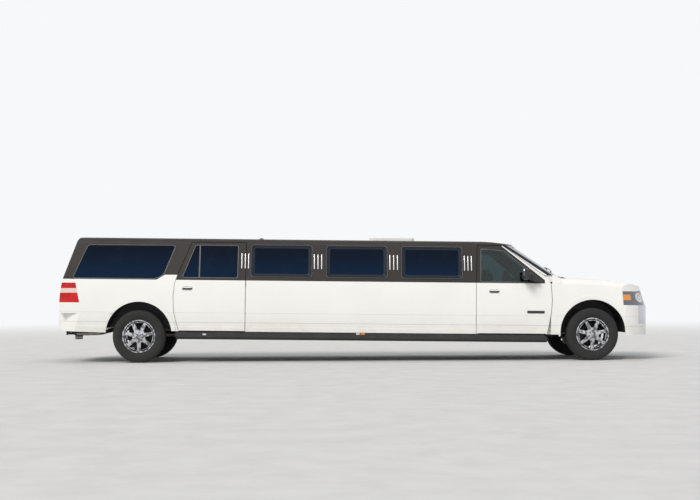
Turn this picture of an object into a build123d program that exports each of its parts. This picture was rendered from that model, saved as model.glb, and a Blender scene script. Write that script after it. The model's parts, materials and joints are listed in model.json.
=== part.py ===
"""Stretch limousine on a long sport-utility body, with four side doors, a hood and a liftgate.

Frame: X forward, Y to the left, Z up, origin on the ground under the middle of the vehicle.
The body stands nose down by a small rake, so every body piece is drawn level and then turned
by that angle about the middle of the wheelbase. Wheels, hubs and steering are drawn as they
stand. Pieces of one side are drawn on the right, at negative Y. All sizes are in millimetres.
"""

import os
from math import atan2, cos, degrees, hypot, radians, sin, sqrt, tan

from build123d import *

os.makedirs("parts", exist_ok=True)

# Lengths along the vehicle
wheelbase = 6883.0
front_overhang = 965.0
rear_overhang = 1329.0
overall_length = wheelbase + front_overhang + rear_overhang
front_end_x = overall_length / 2
rear_end_x = -overall_length / 2
front_axle_x = front_end_x - front_overhang
rear_axle_x = rear_end_x + rear_overhang
rake_x = (front_axle_x + rear_axle_x) / 2
rake_z = 706.0
body_rake = 0.8

# Heights in the level body
sill_z = 436.0
widest_z = 720.0
belt_z = 1209.0
rail_z = 1762.0
roof_seam_z = 1790.0
shoulder_z = 1838.0
roof_z = 1870.0
floor_z = 542.0
floor_thickness = 20.0

# Half widths
body_half = 1001.0
sill_tuck = 16.0
belt_tuck = 33.0
rail_half = 842.0
crown_angle = 5.0

# Walls, gaps and seats
skin = 8.0
glass_inset = 3.0
wall_low = 95.0
wall_high = 45.0
roof_wall = 40.0
tail_wall = 60.0
panel_gap = 9.0
gate_gap = 10.0
gate_roof_gap = 18.0
seam = 0.4
seat_gap = 0.3
pane_gap = 0.3
bore_gap = 0.3

# Door edges: the skin overhangs the core, and a body flange lies behind the skin
rebate = 24.0
flange_reach = 7.0
flange_depth = 23.0
door_low_z = 446.0
door_high_z = roof_seam_z - panel_gap
hinge_back = 72.0
hinge_depth = 26.0
hinge_pin = 5.0
hinge_boss = 8.0
hinge_heights = (730.0, 920.0)
hinge_leaf = 30.0
post_clear = 84.0
swing_gap = 6.0
post_relief = 5.0

# Wheels
tyre_radius = 398.0
tyre_width = 255.0
rim_radius = 249.0
track = 1703.0
arch_radius = 497.0
arch_rise = 28.0
arch_lip = 62.0
arch_proud = 11.0
wheel_y = track / 2

# Door seams
front_door_front_x = front_axle_x - arch_radius - 125.0
front_door_length = 1150.0
front_door_rear_x = front_door_front_x - front_door_length
rear_door_rear_x = rear_axle_x + arch_radius + 23.0
rear_door_length = 1080.0
rear_door_front_x = rear_door_rear_x + rear_door_length

# Stretch windows
window_count = 3
window_length = 910.0
window_low_z = 1272.0
window_high_z = 1742.0
window_corner = 45.0
window_margin_rear = 90.0
window_margin_front = 223.0

# Windshield, hood and nose
windshield_bow = 2300.0
windshield_base = (front_axle_x - 458.0, 1367.0)
windshield_top = (front_axle_x - 1118.0, 1813.0)
hood_rear_x = front_axle_x - 361.0
hood_gap = 5.0
fender_seam_x = front_axle_x + arch_radius - 30.0
bumper_top_z = 892.0
bumper_low_z = 443.0
nose_lean = 0.32

# Tail
tail_low_x = rear_end_x + 84.0
tail_bow = 9000.0
gate_seam_x = tail_low_x + 372.0
gate_draft = 12.0
gate_edge = ((889.0, 663.0), (907.0, 1150.0), (832.0, 1660.0), (832.0, 2060.0))
rear_bumper_top_z = 692.0


def turned(x, z, angle):
    """A point in side view, turned about the middle of the wheelbase by an angle."""
    a = radians(angle)
    dx = x - rake_x
    dz = z - rake_z
    return rake_x + dx * cos(a) + dz * sin(a), rake_z + dz * cos(a) - dx * sin(a)


def write(piece, label, body_piece=True):
    """Turns a body piece to the rake, names it and writes it."""
    axis = Axis((rake_x, 0, rake_z), (0, 1, 0))
    made = piece.rotate(axis, body_rake) if body_piece else piece
    made.label = label
    export_step(made, f"parts/{label}.step")


def write_pair(piece, label, body_piece=True):
    """Writes a right-hand piece and its mirror image."""
    write(piece, f"right_{label}", body_piece)
    write(mirror(piece, about=Plane.XZ), f"left_{label}", body_piece)


# The side below the belt is one arc through the sill, the widest line and the belt
def circle_through(a, b, c):
    """Centre and radius of the circle through three points."""
    d = 2 * (a[0] * (b[1] - c[1]) + b[0] * (c[1] - a[1]) + c[0] * (a[1] - b[1]))
    squares = [p[0] ** 2 + p[1] ** 2 for p in (a, b, c)]
    y = (squares[0] * (b[1] - c[1]) + squares[1] * (c[1] - a[1]) + squares[2] * (a[1] - b[1])) / d
    z = (squares[0] * (c[0] - b[0]) + squares[1] * (a[0] - c[0]) + squares[2] * (b[0] - a[0])) / d
    return y, z, hypot(a[0] - y, a[1] - z)


side_centre_y, side_centre_z, side_radius = circle_through(
    (body_half - sill_tuck, sill_z),
    (body_half, widest_z),
    (body_half - belt_tuck, belt_z),
)


def side_half(z):
    """Half width of the body at a height below the belt."""
    return side_centre_y + sqrt(side_radius**2 - (z - side_centre_z) ** 2)


# Cabin: one section run along the vehicle, then cut to the windshield and the tail
def cabin_bar(side_in, pane_in, roof_in, low_z, start_x, end_x):
    """The cabin's section at an inset, run between two stations."""
    pane_angle = degrees(atan2(rail_z - belt_z, rail_half - side_half(belt_z)))
    chord = radians((pane_angle + 180 - crown_angle) / 2)
    rail = (rail_half - pane_in, rail_z)
    rise = shoulder_z - roof_in - rail_z
    shoulder = (rail[0] + rise / tan(chord), rail_z + rise)
    with BuildPart() as bar:
        with BuildSketch(Plane.YZ.offset(start_x)):
            with BuildLine():
                lower = ThreePointArc(
                    (side_half(low_z) - side_in, low_z),
                    (side_half(widest_z) - side_in, widest_z),
                    (side_half(belt_z) - side_in, belt_z),
                )
                top = [(side_half(belt_z) - side_in, belt_z), (side_half(belt_z) - pane_in, belt_z)]
                ledge = Polyline(*top[: 1 + (side_in != pane_in)], rail)
                edge = TangentArc(rail, shoulder, tangent=ledge % 1)
                ThreePointArc(shoulder, (0, roof_z - roof_in), (-shoulder[0], shoulder[1]))
                mirror([lower, ledge, edge], about=Plane.YZ)
                Line(lower @ 0, (-(lower @ 0).X, low_z))
            make_face()
        extrude(amount=end_x - start_x)
    return bar.part


def front_keep(inset):
    """All that lies behind the windshield, which is bowed in plan."""
    slope = (windshield_base[0] - windshield_top[0]) / (windshield_top[1] - windshield_base[1])
    push = inset * sqrt(1 + slope * slope)
    axis_x = windshield_base[0] - windshield_bow
    low_z = 1250.0
    low_x = windshield_base[0] + (windshield_base[1] - low_z) * slope - push
    top = (windshield_top[0] - push, windshield_top[1])
    with BuildPart() as keep:
        with BuildSketch(Plane.XZ):
            with BuildLine():
                roofline = ThreePointArc(
                    top, (top[0] - 330, top[1] + 38), (top[0] - 760, top[1] + 62)
                )
                Polyline(
                    roofline @ 1,
                    (axis_x, top[1] + 140),
                    (axis_x, 200),
                    (low_x, 200),
                    (low_x, low_z),
                    top,
                )
            make_face()
        revolve(axis=Axis((axis_x, 0, 0), (0, 0, 1)))
        with Locations((axis_x - 4000, 0, 1100)):
            Box(8000, 2400, 2400)
    return keep.part


def rear_keep(inset):
    """All that lies ahead of the liftgate's outer face, which is bowed in plan."""
    axis_x = tail_low_x + tail_bow
    back = tail_low_x + inset
    with BuildPart() as keep:
        with BuildSketch(Plane.XZ):
            with BuildLine():
                low = Line((back, 200), (back, 760))
                panel = ThreePointArc(low @ 1, (back + 9, 1000), (back + 42, belt_z))
                pane = Line(panel @ 1, (back + 240, 1775))
                corner = ThreePointArc(pane @ 1, (back + 268, 1822), (back + 330, 1872))
                Polyline(
                    corner @ 1,
                    (back + 520, 1960),
                    (axis_x, 1960),
                    (axis_x, 200),
                    (back, 200),
                )
            make_face()
        revolve(axis=Axis((axis_x, 0, 0), (0, 0, 1)))
    return keep.part


def cabin_block(side_in, pane_in, roof_in, front_in, rear_in, low_z=sill_z):
    """The solid inside one layer of the cabin wall."""
    with BuildPart() as block:
        add(cabin_bar(side_in, pane_in, roof_in, low_z, rear_end_x, front_axle_x))
        add(front_keep(front_in), mode=Mode.INTERSECT)
        add(rear_keep(rear_in), mode=Mode.INTERSECT)
    return block.part


cabin_outer = cabin_block(0, 0, 0, 0, 0)
cabin_glass = cabin_block(*[glass_inset] * 5)
cabin_skin = cabin_block(*[skin] * 5)
cabin_flange = cabin_block(*[flange_depth] * 5)
cabin_inner = cabin_block(wall_low, wall_high, roof_wall, wall_high, tail_wall, sill_z - 50)


# Front clip: sections from the cowl to the nose
clip_columns = ("x", "belt_half", "belt_z", "edge_half", "edge_z", "centre_z")
clip_rows = (
    (front_door_front_x - 16.0, 968.0, 1209.0, 790.0, 1292.0, 1352.0),
    (front_axle_x - 143.0, 966.0, 1200.0, 795.0, 1281.0, 1335.0),
    (front_axle_x + 347.0, 962.0, 1174.0, 790.0, 1248.0, 1299.0),
    (front_axle_x + 697.0, 954.0, 1140.0, 772.0, 1197.0, 1236.0),
    (front_axle_x + 1027.0, 942.0, 1088.0, 745.0, 1128.0, 1156.0),
)
shoulder_bulge = 0.17


def clip_block(inset, low_z=380.0):
    """The solid inside one layer of the hood and fenders, before the nose is cut."""
    with BuildPart() as block:
        for row in clip_rows:
            at = dict(zip(clip_columns, row))
            belt = (at["belt_half"] - inset, at["belt_z"] - inset * 0.4)
            edge = (at["edge_half"] - inset * 0.5, at["edge_z"] - inset)
            run = (edge[0] - belt[0], edge[1] - belt[1])
            mid = (
                (belt[0] + edge[0]) / 2 + run[1] * shoulder_bulge,
                (belt[1] + edge[1]) / 2 - run[0] * shoulder_bulge,
            )
            with BuildSketch(Plane.YZ.offset(at["x"])):
                with BuildLine():
                    lower = ThreePointArc(
                        (side_half(low_z) - inset, low_z),
                        (side_half(widest_z) - inset, widest_z),
                        belt,
                    )
                    shoulder = ThreePointArc(belt, mid, edge)
                    ThreePointArc(edge, (0, at["centre_z"] - inset), (-edge[0], edge[1]))
                    mirror([lower, shoulder], about=Plane.YZ)
                    Line(lower @ 0, (-(lower @ 0).X, low_z))
                make_face()
        loft()
    return block.part


# Nose in plan: a bow across the front and a corner arc on each side
nose_columns = ("centre_x", "bow_x", "bow_half", "corner_x", "corner_half", "side_x")
nose_upper = (front_end_x - 14.0, front_end_x - 74.0, 620.0, front_end_x - 262.0, 868.0, 620.0)
nose_bumper = (front_end_x, front_end_x - 58.0, 620.0, front_end_x - 238.0, 884.0, 560.0)


def nose_keep(row, low_z, high_z, lean, inset):
    """All that lies behind the nose, as an outline in plan that leans back above the bumper."""
    at = dict(zip(nose_columns, row))
    side = (front_end_x - at["side_x"], body_half + 14)
    with BuildPart() as keep:
        for z in (low_z, high_z):
            back = (z - bumper_top_z) * lean + inset
            with BuildSketch(Plane.XY.offset(z)):
                with BuildLine():
                    bow = ThreePointArc(
                        (at["bow_x"] - back, -at["bow_half"]),
                        (at["centre_x"] - back, 0),
                        (at["bow_x"] - back, at["bow_half"]),
                    )
                    corner = ThreePointArc(
                        bow @ 1,
                        (at["corner_x"] - back * 1.1, at["corner_half"] - inset * 0.7),
                        (side[0] - back, side[1] - inset),
                    )
                    mirror([corner], about=Plane.XZ)
                    Polyline(
                        corner @ 1,
                        (front_axle_x - 900, side[1] - inset),
                        (front_axle_x - 900, -side[1] + inset),
                        (side[0] - back, -side[1] + inset),
                    )
                make_face()
        loft(ruled=True)
    return keep.part


def clip_layer(inset):
    """One layer of the hood and fenders, cut to the nose."""
    with BuildPart() as layer:
        add(clip_block(inset))
        add(nose_keep(nose_upper, 380.0, 1420.0, nose_lean, inset), mode=Mode.INTERSECT)
    return layer.part


clip_outer = clip_layer(0)
clip_skin = clip_layer(skin)



# Outlines in side view, and the prisms that cut panels out of the layers
def side_prism(points, corner=0.0, grow=0.0, inner=300.0, reach=900.0):
    """A right-hand solid whose outline is seen from the side."""
    with BuildPart() as prism:
        with BuildSketch(Plane.XZ.offset(inner)):
            Polygon(*points, align=None)
            if corner:
                fillet(vertices(), corner)
            if grow:
                offset(amount=grow, kind=Kind.INTERSECTION)
        extrude(amount=reach)
    return prism.part


def zone(low_x, high_x, low_z, high_z, low_y=-1100.0, high_y=-300.0):
    """A box between limits along the three axes."""
    with BuildPart() as box:
        with Locations(((low_x + high_x) / 2, (low_y + high_y) / 2, (low_z + high_z) / 2)):
            Box(high_x - low_x, high_y - low_y, high_z - low_z)
    return box.part


def common(first, second):
    """What two solids share."""
    with BuildPart() as both:
        add(first)
        add(second, mode=Mode.INTERSECT)
    return both.part


def without(first, *others):
    """A solid with others cut away."""
    with BuildPart() as rest:
        add(first)
        for other in others:
            add(other, mode=Mode.SUBTRACT)
    return rest.part


def plan_prism(points, low_z, high_z):
    """A solid whose outline is seen from above."""
    with BuildPart() as prism:
        with BuildSketch(Plane.XY.offset(low_z)):
            Polygon(*points, align=None)
        extrude(amount=high_z - low_z)
    return prism.part


pillar_foot = (front_door_front_x - 66.0, 1285.0)
pillar_head = (front_door_front_x - 740.0, door_high_z)
front_door_outline = (
    (front_door_rear_x, door_low_z),
    (front_door_front_x - 77.0, door_low_z),
    (front_door_front_x - 14.0, 760.0),
    (front_door_front_x, 960.0),
    (front_door_front_x - 14.0, belt_z),
    pillar_foot,
    pillar_head,
    (front_door_rear_x + 26.0, door_high_z),
    (front_door_rear_x, belt_z),
)
front_window_outline = (
    (front_door_rear_x + 66.0, 1226.0),
    (front_door_front_x - 134.0, 1226.0),
    (front_door_front_x - 728.0, 1703.0),
    (front_door_rear_x + 78.0, 1733.0),
)
rear_door_outline = (
    (rear_door_rear_x + 85.0, door_low_z),
    (rear_door_front_x, door_low_z),
    (rear_door_front_x, door_high_z),
    (rear_door_rear_x + 262.0, door_high_z),
    (rear_door_rear_x + 61.0, 1290.0),
    (rear_door_rear_x + 15.0, 1150.0),
    (rear_door_rear_x, 930.0),
    (rear_door_rear_x + 15.0, 715.0),
)
rear_window_outline = (
    (rear_door_rear_x + 128.0, 1247.0),
    (rear_door_front_x - 117.0, 1247.0),
    (rear_door_front_x - 117.0, 1740.0),
    (rear_door_rear_x + 318.0, 1740.0),
)
quarter_window_outline = (
    (tail_low_x + 243.0, 1223.0),
    (rear_door_rear_x - 268.0, 1223.0),
    (rear_door_rear_x - 156.0, 1285.0),
    (rear_door_rear_x + 15.0, 1735.0),
    (tail_low_x + 451.0, 1732.0),
)
first_window_x = rear_door_front_x + window_margin_rear
last_window_x = front_door_rear_x - window_margin_front - window_length
window_pitch = (last_window_x - first_window_x) / (window_count - 1)
window_starts = [first_window_x + n * window_pitch for n in range(window_count)]
stretch_window_outlines = [
    (
        (start, window_low_z),
        (start + window_length, window_low_z),
        (start + window_length, window_high_z),
        (start, window_high_z),
    )
    for start in window_starts
]

front_arch_x, front_arch_z = turned(front_axle_x, tyre_radius + arch_rise, -body_rake)
rear_arch_x, rear_arch_z = turned(rear_axle_x, tyre_radius + arch_rise, -body_rake)


def arch_disc(x, z, radius, inner=300.0, reach=900.0):
    """A round solid across the right-hand side at a wheel arch."""
    with BuildPart() as disc:
        with BuildSketch(Plane.XZ.offset(inner)):
            with Locations((x, z)):
                Circle(radius)
        extrude(amount=reach)
    return disc.part


def arch_flare(block, core, x, z):
    """The raised lip round an arch: what a block stands proud of its core by."""
    with BuildPart() as flare:
        add(block)
        add(core, mode=Mode.SUBTRACT)
        add(arch_disc(x, z, arch_radius + arch_lip), mode=Mode.INTERSECT)
        add(zone(x - 700, x + 700, rear_arch_z - 60, 1200), mode=Mode.INTERSECT)
    return flare.part


def door_cut(panel, outline, hinge_x):
    """Cuts a door's opening out of a body panel, leaving a flange behind the door's skin."""
    with BuildPart() as shallow:
        add(side_prism(outline, grow=panel_gap))
        add(cabin_flange, mode=Mode.SUBTRACT)
    with BuildPart() as cut:
        add(panel)
        add(shallow.part, mode=Mode.SUBTRACT)
        add(side_prism(outline, grow=-flange_reach), mode=Mode.SUBTRACT)
        add(
            zone(hinge_x - 120, hinge_x + panel_gap, sill_z - 60, belt_z + 130,
                 high_y=-(body_half - post_clear)),
            mode=Mode.SUBTRACT,
        )
        add(
            zone(hinge_x, hinge_x + panel_gap + post_relief, sill_z + 60, belt_z,
                 -(body_half - 20), -(body_half - post_clear)),
            mode=Mode.SUBTRACT,
        )
    return cut.part


def door_shell(outline, window, corner):
    """A door as thick as the wall, with its skin overhanging its core and its window cut."""
    with BuildPart() as core_cut:
        add(cabin_skin)
        add(side_prism(outline, grow=-rebate), mode=Mode.SUBTRACT)
    with BuildPart() as door:
        add(cabin_outer)
        add(side_prism(outline), mode=Mode.INTERSECT)
        add(core_cut.part, mode=Mode.SUBTRACT)
        add(cabin_inner, mode=Mode.SUBTRACT)
        add(side_prism(window, corner), mode=Mode.SUBTRACT)
    return door.part


def pane(window, corner):
    """A window pane that fits its opening."""
    with BuildPart() as glass:
        add(cabin_glass)
        add(side_prism(window, corner, grow=-pane_gap), mode=Mode.INTERSECT)
        add(cabin_skin, mode=Mode.SUBTRACT)
    return glass.part


# Side doors, with a notch at each hinge for the leaf that comes from the body
def hinge_line(edge_x):
    """Where a side door's hinge pin stands, in plan."""
    return edge_x - hinge_back, -(body_half - hinge_depth)


def hinge_notch(door, edge_x):
    """Opens a door's core at each hinge and bores it for the pin."""
    pin_x, pin_y = hinge_line(edge_x)
    with BuildPart() as cut:
        add(door)
        for z in hinge_heights:
            add(
                zone(pin_x - 16, edge_x - rebate + 1, z - hinge_leaf / 2 - 5, z + hinge_leaf / 2 + 5,
                     -(body_half - 14), -(body_half - wall_low - 30)),
                mode=Mode.SUBTRACT,
            )
            with Locations((pin_x, pin_y, z)):
                Cylinder(hinge_pin + bore_gap, hinge_leaf + 50, mode=Mode.SUBTRACT)
    return cut.part


def hinge_leaves(edge_x, post_x):
    """The body's hinge leaves and pins for one door, in one solid for each hinge."""
    pin_x, pin_y = hinge_line(edge_x)
    deep = body_half - wall_low + 1
    with BuildPart() as leaves:
        for z in hinge_heights:
            with BuildSketch(Plane.XY.offset(z - hinge_leaf / 2)):
                with Locations((pin_x, pin_y)):
                    Circle(hinge_boss)
                with Locations((pin_x, (pin_y - deep) / 2)):
                    Rectangle(14, deep + pin_y)
                with Locations(((pin_x - 7 + post_x) / 2, -deep)):
                    Rectangle(post_x - pin_x + 7, 10)
            extrude(amount=hinge_leaf)
            with Locations((pin_x, pin_y, z)):
                Cylinder(hinge_pin, hinge_leaf + 44)
    return leaves.part


front_door = hinge_notch(door_shell(front_door_outline, front_window_outline, 14), front_door_front_x)
rear_door = hinge_notch(door_shell(rear_door_outline, rear_window_outline, 18), rear_door_front_x)
write_pair(front_door, "front_door")
write_pair(rear_door, "rear_door")
write_pair(pane(front_window_outline, 14), "front_door_glass")
write_pair(pane(rear_window_outline, 18), "rear_door_glass")


# Fixed side panels
def shell_zone(outline):
    """The cabin's wall inside an outline seen from the side."""
    with BuildPart() as panel:
        add(cabin_outer)
        add(side_prism(outline), mode=Mode.INTERSECT)
        add(cabin_inner, mode=Mode.SUBTRACT)
    return panel.part


def gate_prism(grow, seam_x):
    """The liftgate's outline, seen from behind, run forward to its seam in the roof."""
    right = [(-half - grow, z) for half, z in gate_edge]
    right[0] = (right[0][0], right[0][1] - grow)
    left = [(-y, z) for y, z in reversed(right)]
    with BuildPart() as prism:
        with BuildSketch(Plane.YZ.offset(rear_end_x - 100)):
            Polygon(*right, *left, align=None)
        extrude(amount=seam_x - rear_end_x + 100, taper=gate_draft)
    return prism.part


rear_edge = [point for point in rear_door_outline if point[0] < rear_door_rear_x + 300]
rear_edge = sorted(rear_edge, key=lambda point: point[1])
flange_edge = [(x + flange_reach, z) for x, z in rear_edge]
low_edge = [point for point in flange_edge if point[1] < 1200]
high_edge = [point for point in flange_edge if point[1] > 1200]
base_top = 1285.0
quarter_low_outline = (
    (rear_end_x - 50, sill_z - 60),
    (low_edge[0][0], sill_z - 60),
    *low_edge,
    (high_edge[0][0] - 2, base_top),
    (rear_door_rear_x - 136.0, base_top),
    (rear_door_rear_x - 258.0, belt_z),
    (rear_end_x - 50, belt_z),
)
quarter_high_outline = (
    (rear_end_x - 50, belt_z + seam),
    (rear_door_rear_x - 259.0, belt_z + seam),
    (rear_door_rear_x - 137.0, base_top + seam),
    (high_edge[0][0] - 2, base_top + seam),
    *high_edge,
    (high_edge[-1][0], roof_seam_z),
    (rear_end_x - 50, roof_seam_z),
)
tail_lamp_outline = (
    (rear_end_x - 50, 855.0),
    (tail_low_x + 353.0, 855.0),
    (tail_low_x + 288.0, 1151.0),
    (rear_end_x - 50, 1151.0),
)
gate_opening = gate_prism(gate_gap, gate_seam_x + gate_roof_gap)
flare_block = cabin_bar(-arch_proud, -arch_proud, 0, sill_z, rear_axle_x - 700, rear_axle_x + 700)
with BuildPart() as quarter_low_panel:
    add(shell_zone(quarter_low_outline))
    add(arch_flare(flare_block, cabin_skin, rear_arch_x, rear_arch_z))
    add(
        common(cabin_skin, arch_disc(rear_arch_x, rear_arch_z, arch_radius + 40)),
        mode=Mode.SUBTRACT,
    )
    add(arch_disc(rear_arch_x, rear_arch_z, arch_radius), mode=Mode.SUBTRACT)
    add(gate_opening, mode=Mode.SUBTRACT)
    add(side_prism(tail_lamp_outline, grow=1.0), mode=Mode.SUBTRACT)
    add(zone(rear_end_x - 50, rear_axle_x - 300, 300, rear_bumper_top_z + seam), mode=Mode.SUBTRACT)
quarter_low = door_cut(quarter_low_panel.part, rear_door_outline, rear_door_front_x)

quarter_high = door_cut(
    without(
        shell_zone(quarter_high_outline), gate_opening, side_prism(quarter_window_outline, 42)
    ),
    rear_door_outline,
    rear_door_front_x,
)


def both_sides(piece):
    """A right-hand piece with its mirror image."""
    with BuildPart() as pair:
        add(piece)
        mirror(about=Plane.XZ)
    return pair.part


write(both_sides(quarter_low), "quarter_panels")

# Stretch panels between the doors
stretch_low_x = rear_door_front_x - flange_reach
stretch_high_x = front_door_rear_x + 26 + flange_reach


def stretch_zone(low_z, high_z):
    """The wall between the doors, with a flange behind each door's skin."""
    panel = shell_zone(
        (
            (stretch_low_x, low_z),
            (stretch_high_x, low_z),
            (stretch_high_x, high_z),
            (stretch_low_x, high_z),
        )
    )
    panel = door_cut(panel, rear_door_outline, rear_door_front_x)
    panel = door_cut(panel, front_door_outline, front_door_front_x)
    return without(panel, zone(front_door_rear_x + 300, front_door_front_x, low_z, high_z))


stretch_low = stretch_zone(sill_z, belt_z)
stretch_high = without(
    stretch_zone(belt_z + seam, roof_seam_z),
    *[side_prism(outline, window_corner) for outline in stretch_window_outlines],
)
with BuildPart() as window_frames:
    add(quarter_high)
    add(stretch_high)
    mirror(about=Plane.XZ)
write(window_frames.part, "window_frames")
with BuildPart() as side_windows:
    for outline in stretch_window_outlines:
        add(pane(outline, window_corner))
    add(pane(quarter_window_outline, 42))
    mirror(about=Plane.XZ)
write(side_windows.part, "side_windows")

# Roof: a skin between two side rails, cut for the liftgate
roof_rail_y = 700.0
with BuildPart() as roof_shell:
    add(cabin_outer)
    add(
        zone(rear_end_x, front_axle_x, roof_seam_z + seam, roof_z + 60, -1100, 1100),
        mode=Mode.INTERSECT,
    )
    add(cabin_inner, mode=Mode.SUBTRACT)
    add(gate_opening, mode=Mode.SUBTRACT)
roof_rail_zone = zone(
    rear_end_x, front_axle_x, roof_seam_z, roof_z + 60, -1100, -roof_rail_y - seam
)
roof_skin_zone = zone(
    rear_end_x, front_axle_x, roof_seam_z, roof_z + 60, -roof_rail_y, roof_rail_y
)
write(both_sides(common(roof_shell.part, roof_rail_zone)), "roof_rails")

# Windshield frame: pillars, lower rail, bulkhead and the hinge posts behind the fenders
post_outline = (
    (front_door_front_x - 77.0 - flange_reach, sill_z),
    (front_door_front_x - 14.0 - flange_reach, 760.0),
    (front_door_front_x - flange_reach, 960.0),
    (front_door_front_x - 14.0 - flange_reach, belt_z),
    (pillar_foot[0] - flange_reach, pillar_foot[1] - 8),
    (pillar_head[0] - 10, door_high_z - 8),
    (pillar_head[0] - 10, roof_seam_z),
    (front_axle_x, roof_seam_z),
    (front_axle_x, sill_z),
)
windshield_half_low = 868.0
windshield_half_high = 712.0
windshield_low_z = 1388.0
windshield_high_z = 1768.0
with BuildPart() as windshield_hole:
    with BuildSketch(Plane.YZ.offset(windshield_top[0] - 420)):
        Polygon(
            (-windshield_half_low, windshield_low_z),
            (windshield_half_low, windshield_low_z),
            (windshield_half_high, windshield_high_z),
            (-windshield_half_high, windshield_high_z),
            align=None,
        )
        fillet(vertices(), 30)
    extrude(amount=1200)
with BuildPart() as windshield:
    add(cabin_glass)
    add(windshield_hole.part, mode=Mode.INTERSECT)
    add(cabin_skin, mode=Mode.SUBTRACT)
    add(zone(rear_end_x, windshield_top[0] - 200, 1000, 1900, -1100, 1100), mode=Mode.SUBTRACT)
write(windshield.part, "windshield")

clip_post = clip_layer(skin + seat_gap)
with BuildPart() as post_side:
    add(shell_zone(post_outline))
    add(
        zone(front_door_front_x - 200, front_axle_x, sill_z - 60, belt_z + 1),
        mode=Mode.INTERSECT,
    )
    add(cabin_block(*[skin + seat_gap] * 4, 0), mode=Mode.INTERSECT)
    add(without(clip_outer, clip_post), mode=Mode.SUBTRACT)
with BuildPart() as post_upper:
    add(shell_zone(post_outline))
    add(
        zone(rear_door_front_x, front_axle_x, belt_z + 1, roof_seam_z),
        mode=Mode.INTERSECT,
    )
with BuildPart() as frame_side:
    add(post_side.part)
    add(post_upper.part)
    add(arch_disc(front_arch_x, front_arch_z, arch_radius + 12, inner=480), mode=Mode.SUBTRACT)
frame_side_cut = door_cut(frame_side.part, front_door_outline, front_door_front_x)
with BuildPart() as bulkhead:
    add(cabin_outer)
    add(zone(windshield_top[0], front_axle_x, sill_z, roof_seam_z, -300, 300), mode=Mode.INTERSECT)
    add(cabin_inner, mode=Mode.SUBTRACT)
passage_low_z = 300.0
tunnel_back = 495.0
tunnel_top_z = 740.0
tunnel_half = 215.0
rail_way_back = 520.0
rail_way_top_z = 625.0
rail_way_inner_y = 395.0
rail_way_outer_y = 485.0
with BuildPart() as frame_passage:
    add(zone(front_axle_x - tunnel_back, front_axle_x, passage_low_z, tunnel_top_z,
             -tunnel_half, tunnel_half))
    for low_y, high_y in ((-rail_way_outer_y, -rail_way_inner_y),
                          (rail_way_inner_y, rail_way_outer_y)):
        add(zone(front_axle_x - rail_way_back, front_axle_x, passage_low_z, rail_way_top_z,
                 low_y, high_y))
with BuildPart() as windshield_frame:
    add(frame_side_cut)
    add(hinge_leaves(front_door_front_x, front_door_front_x + 40))
    mirror(about=Plane.XZ)
    add(bulkhead.part)
    add(windshield_hole.part, mode=Mode.SUBTRACT)
    add(frame_passage.part, mode=Mode.SUBTRACT)
with BuildPart() as stretch_panel:
    add(stretch_low)
    add(hinge_leaves(rear_door_front_x, rear_door_front_x + 40))
write(both_sides(stretch_panel.part), "stretch_panels")

# Hood: its outline from above, and its lip over the grille
hood_half_rear = 800.0
hood_half_front = 748.0
hood_lip_z = 1150.0
hood_lip_drop = 48.0
hood_thickness = 24.0
hood_border = 50.0


def hood_region(grow):
    """The space over the engine that the hood covers, grown for the gap round it."""
    plan = plan_prism(
        (
            (hood_rear_x - grow, -hood_half_rear - grow),
            (front_axle_x + 697.0, -773.0 - grow),
            (front_end_x + 100, -hood_half_front - grow),
            (front_end_x + 100, hood_half_front + grow),
            (front_axle_x + 697.0, 773.0 + grow),
            (hood_rear_x - grow, hood_half_rear + grow),
        ),
        900,
        1420,
    )
    with BuildPart() as above_lip:
        with BuildSketch(Plane.YZ.offset(hood_rear_x - 300)):
            with BuildLine():
                lip = ThreePointArc(
                    (-900, hood_lip_z - hood_lip_drop * 1.3 - grow),
                    (0, hood_lip_z - grow),
                    (900, hood_lip_z - hood_lip_drop * 1.3 - grow),
                )
                Polyline(lip @ 1, (900, 1500), (-900, 1500), lip @ 0)
            make_face()
        extrude(amount=1800)
    return common(plan, above_lip.part)


hood_space = hood_region(0)
hood_hole = hood_region(hood_gap)
with BuildPart() as hood:
    add(clip_outer)
    add(hood_space, mode=Mode.INTERSECT)
    add(clip_layer(hood_thickness), mode=Mode.SUBTRACT)
    add(without(clip_skin, hood_region(-hood_border)), mode=Mode.SUBTRACT)
    for low_y, high_y in ((-630, -70), (70, 630)):
        add(
            common(clip_skin, zone(hood_rear_x + 130, front_axle_x + 560, 900, 1420, low_y, high_y)),
            mode=Mode.SUBTRACT,
        )

# Lamps and grille fill the front of the nose
lamp_depth = 57.0
lamp_top_z = 1103.0
lamp_step_x = front_axle_x + 730.0
lamp_outline = (
    (fender_seam_x + 4.0, bumper_top_z),
    (fender_seam_x - 7.0, lamp_top_z),
    (lamp_step_x, lamp_top_z),
    (lamp_step_x, lamp_top_z + 40),
    (front_end_x + 60, lamp_top_z + 40),
    (front_end_x + 60, bumper_top_z),
)
grille_half_low = 440.0
grille_half_high = 478.0
grille_top_z = hood_lip_z - panel_gap
clip_lamp_back = clip_layer(lamp_depth)
nose_shell = without(clip_outer, clip_lamp_back)


def grille_face(grow, corner):
    """The grille's opening as seen from the front, run through the nose."""
    with BuildPart() as face:
        with BuildSketch(Plane.YZ.offset(front_end_x - 320)):
            Polygon(
                (-grille_half_low - grow, bumper_top_z - grow),
                (grille_half_low + grow, bumper_top_z - grow),
                (grille_half_high + grow, grille_top_z + grow),
                (-grille_half_high - grow, grille_top_z + grow),
                align=None,
            )
            fillet(vertices(), corner)
        extrude(amount=500)
    return face.part


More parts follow.
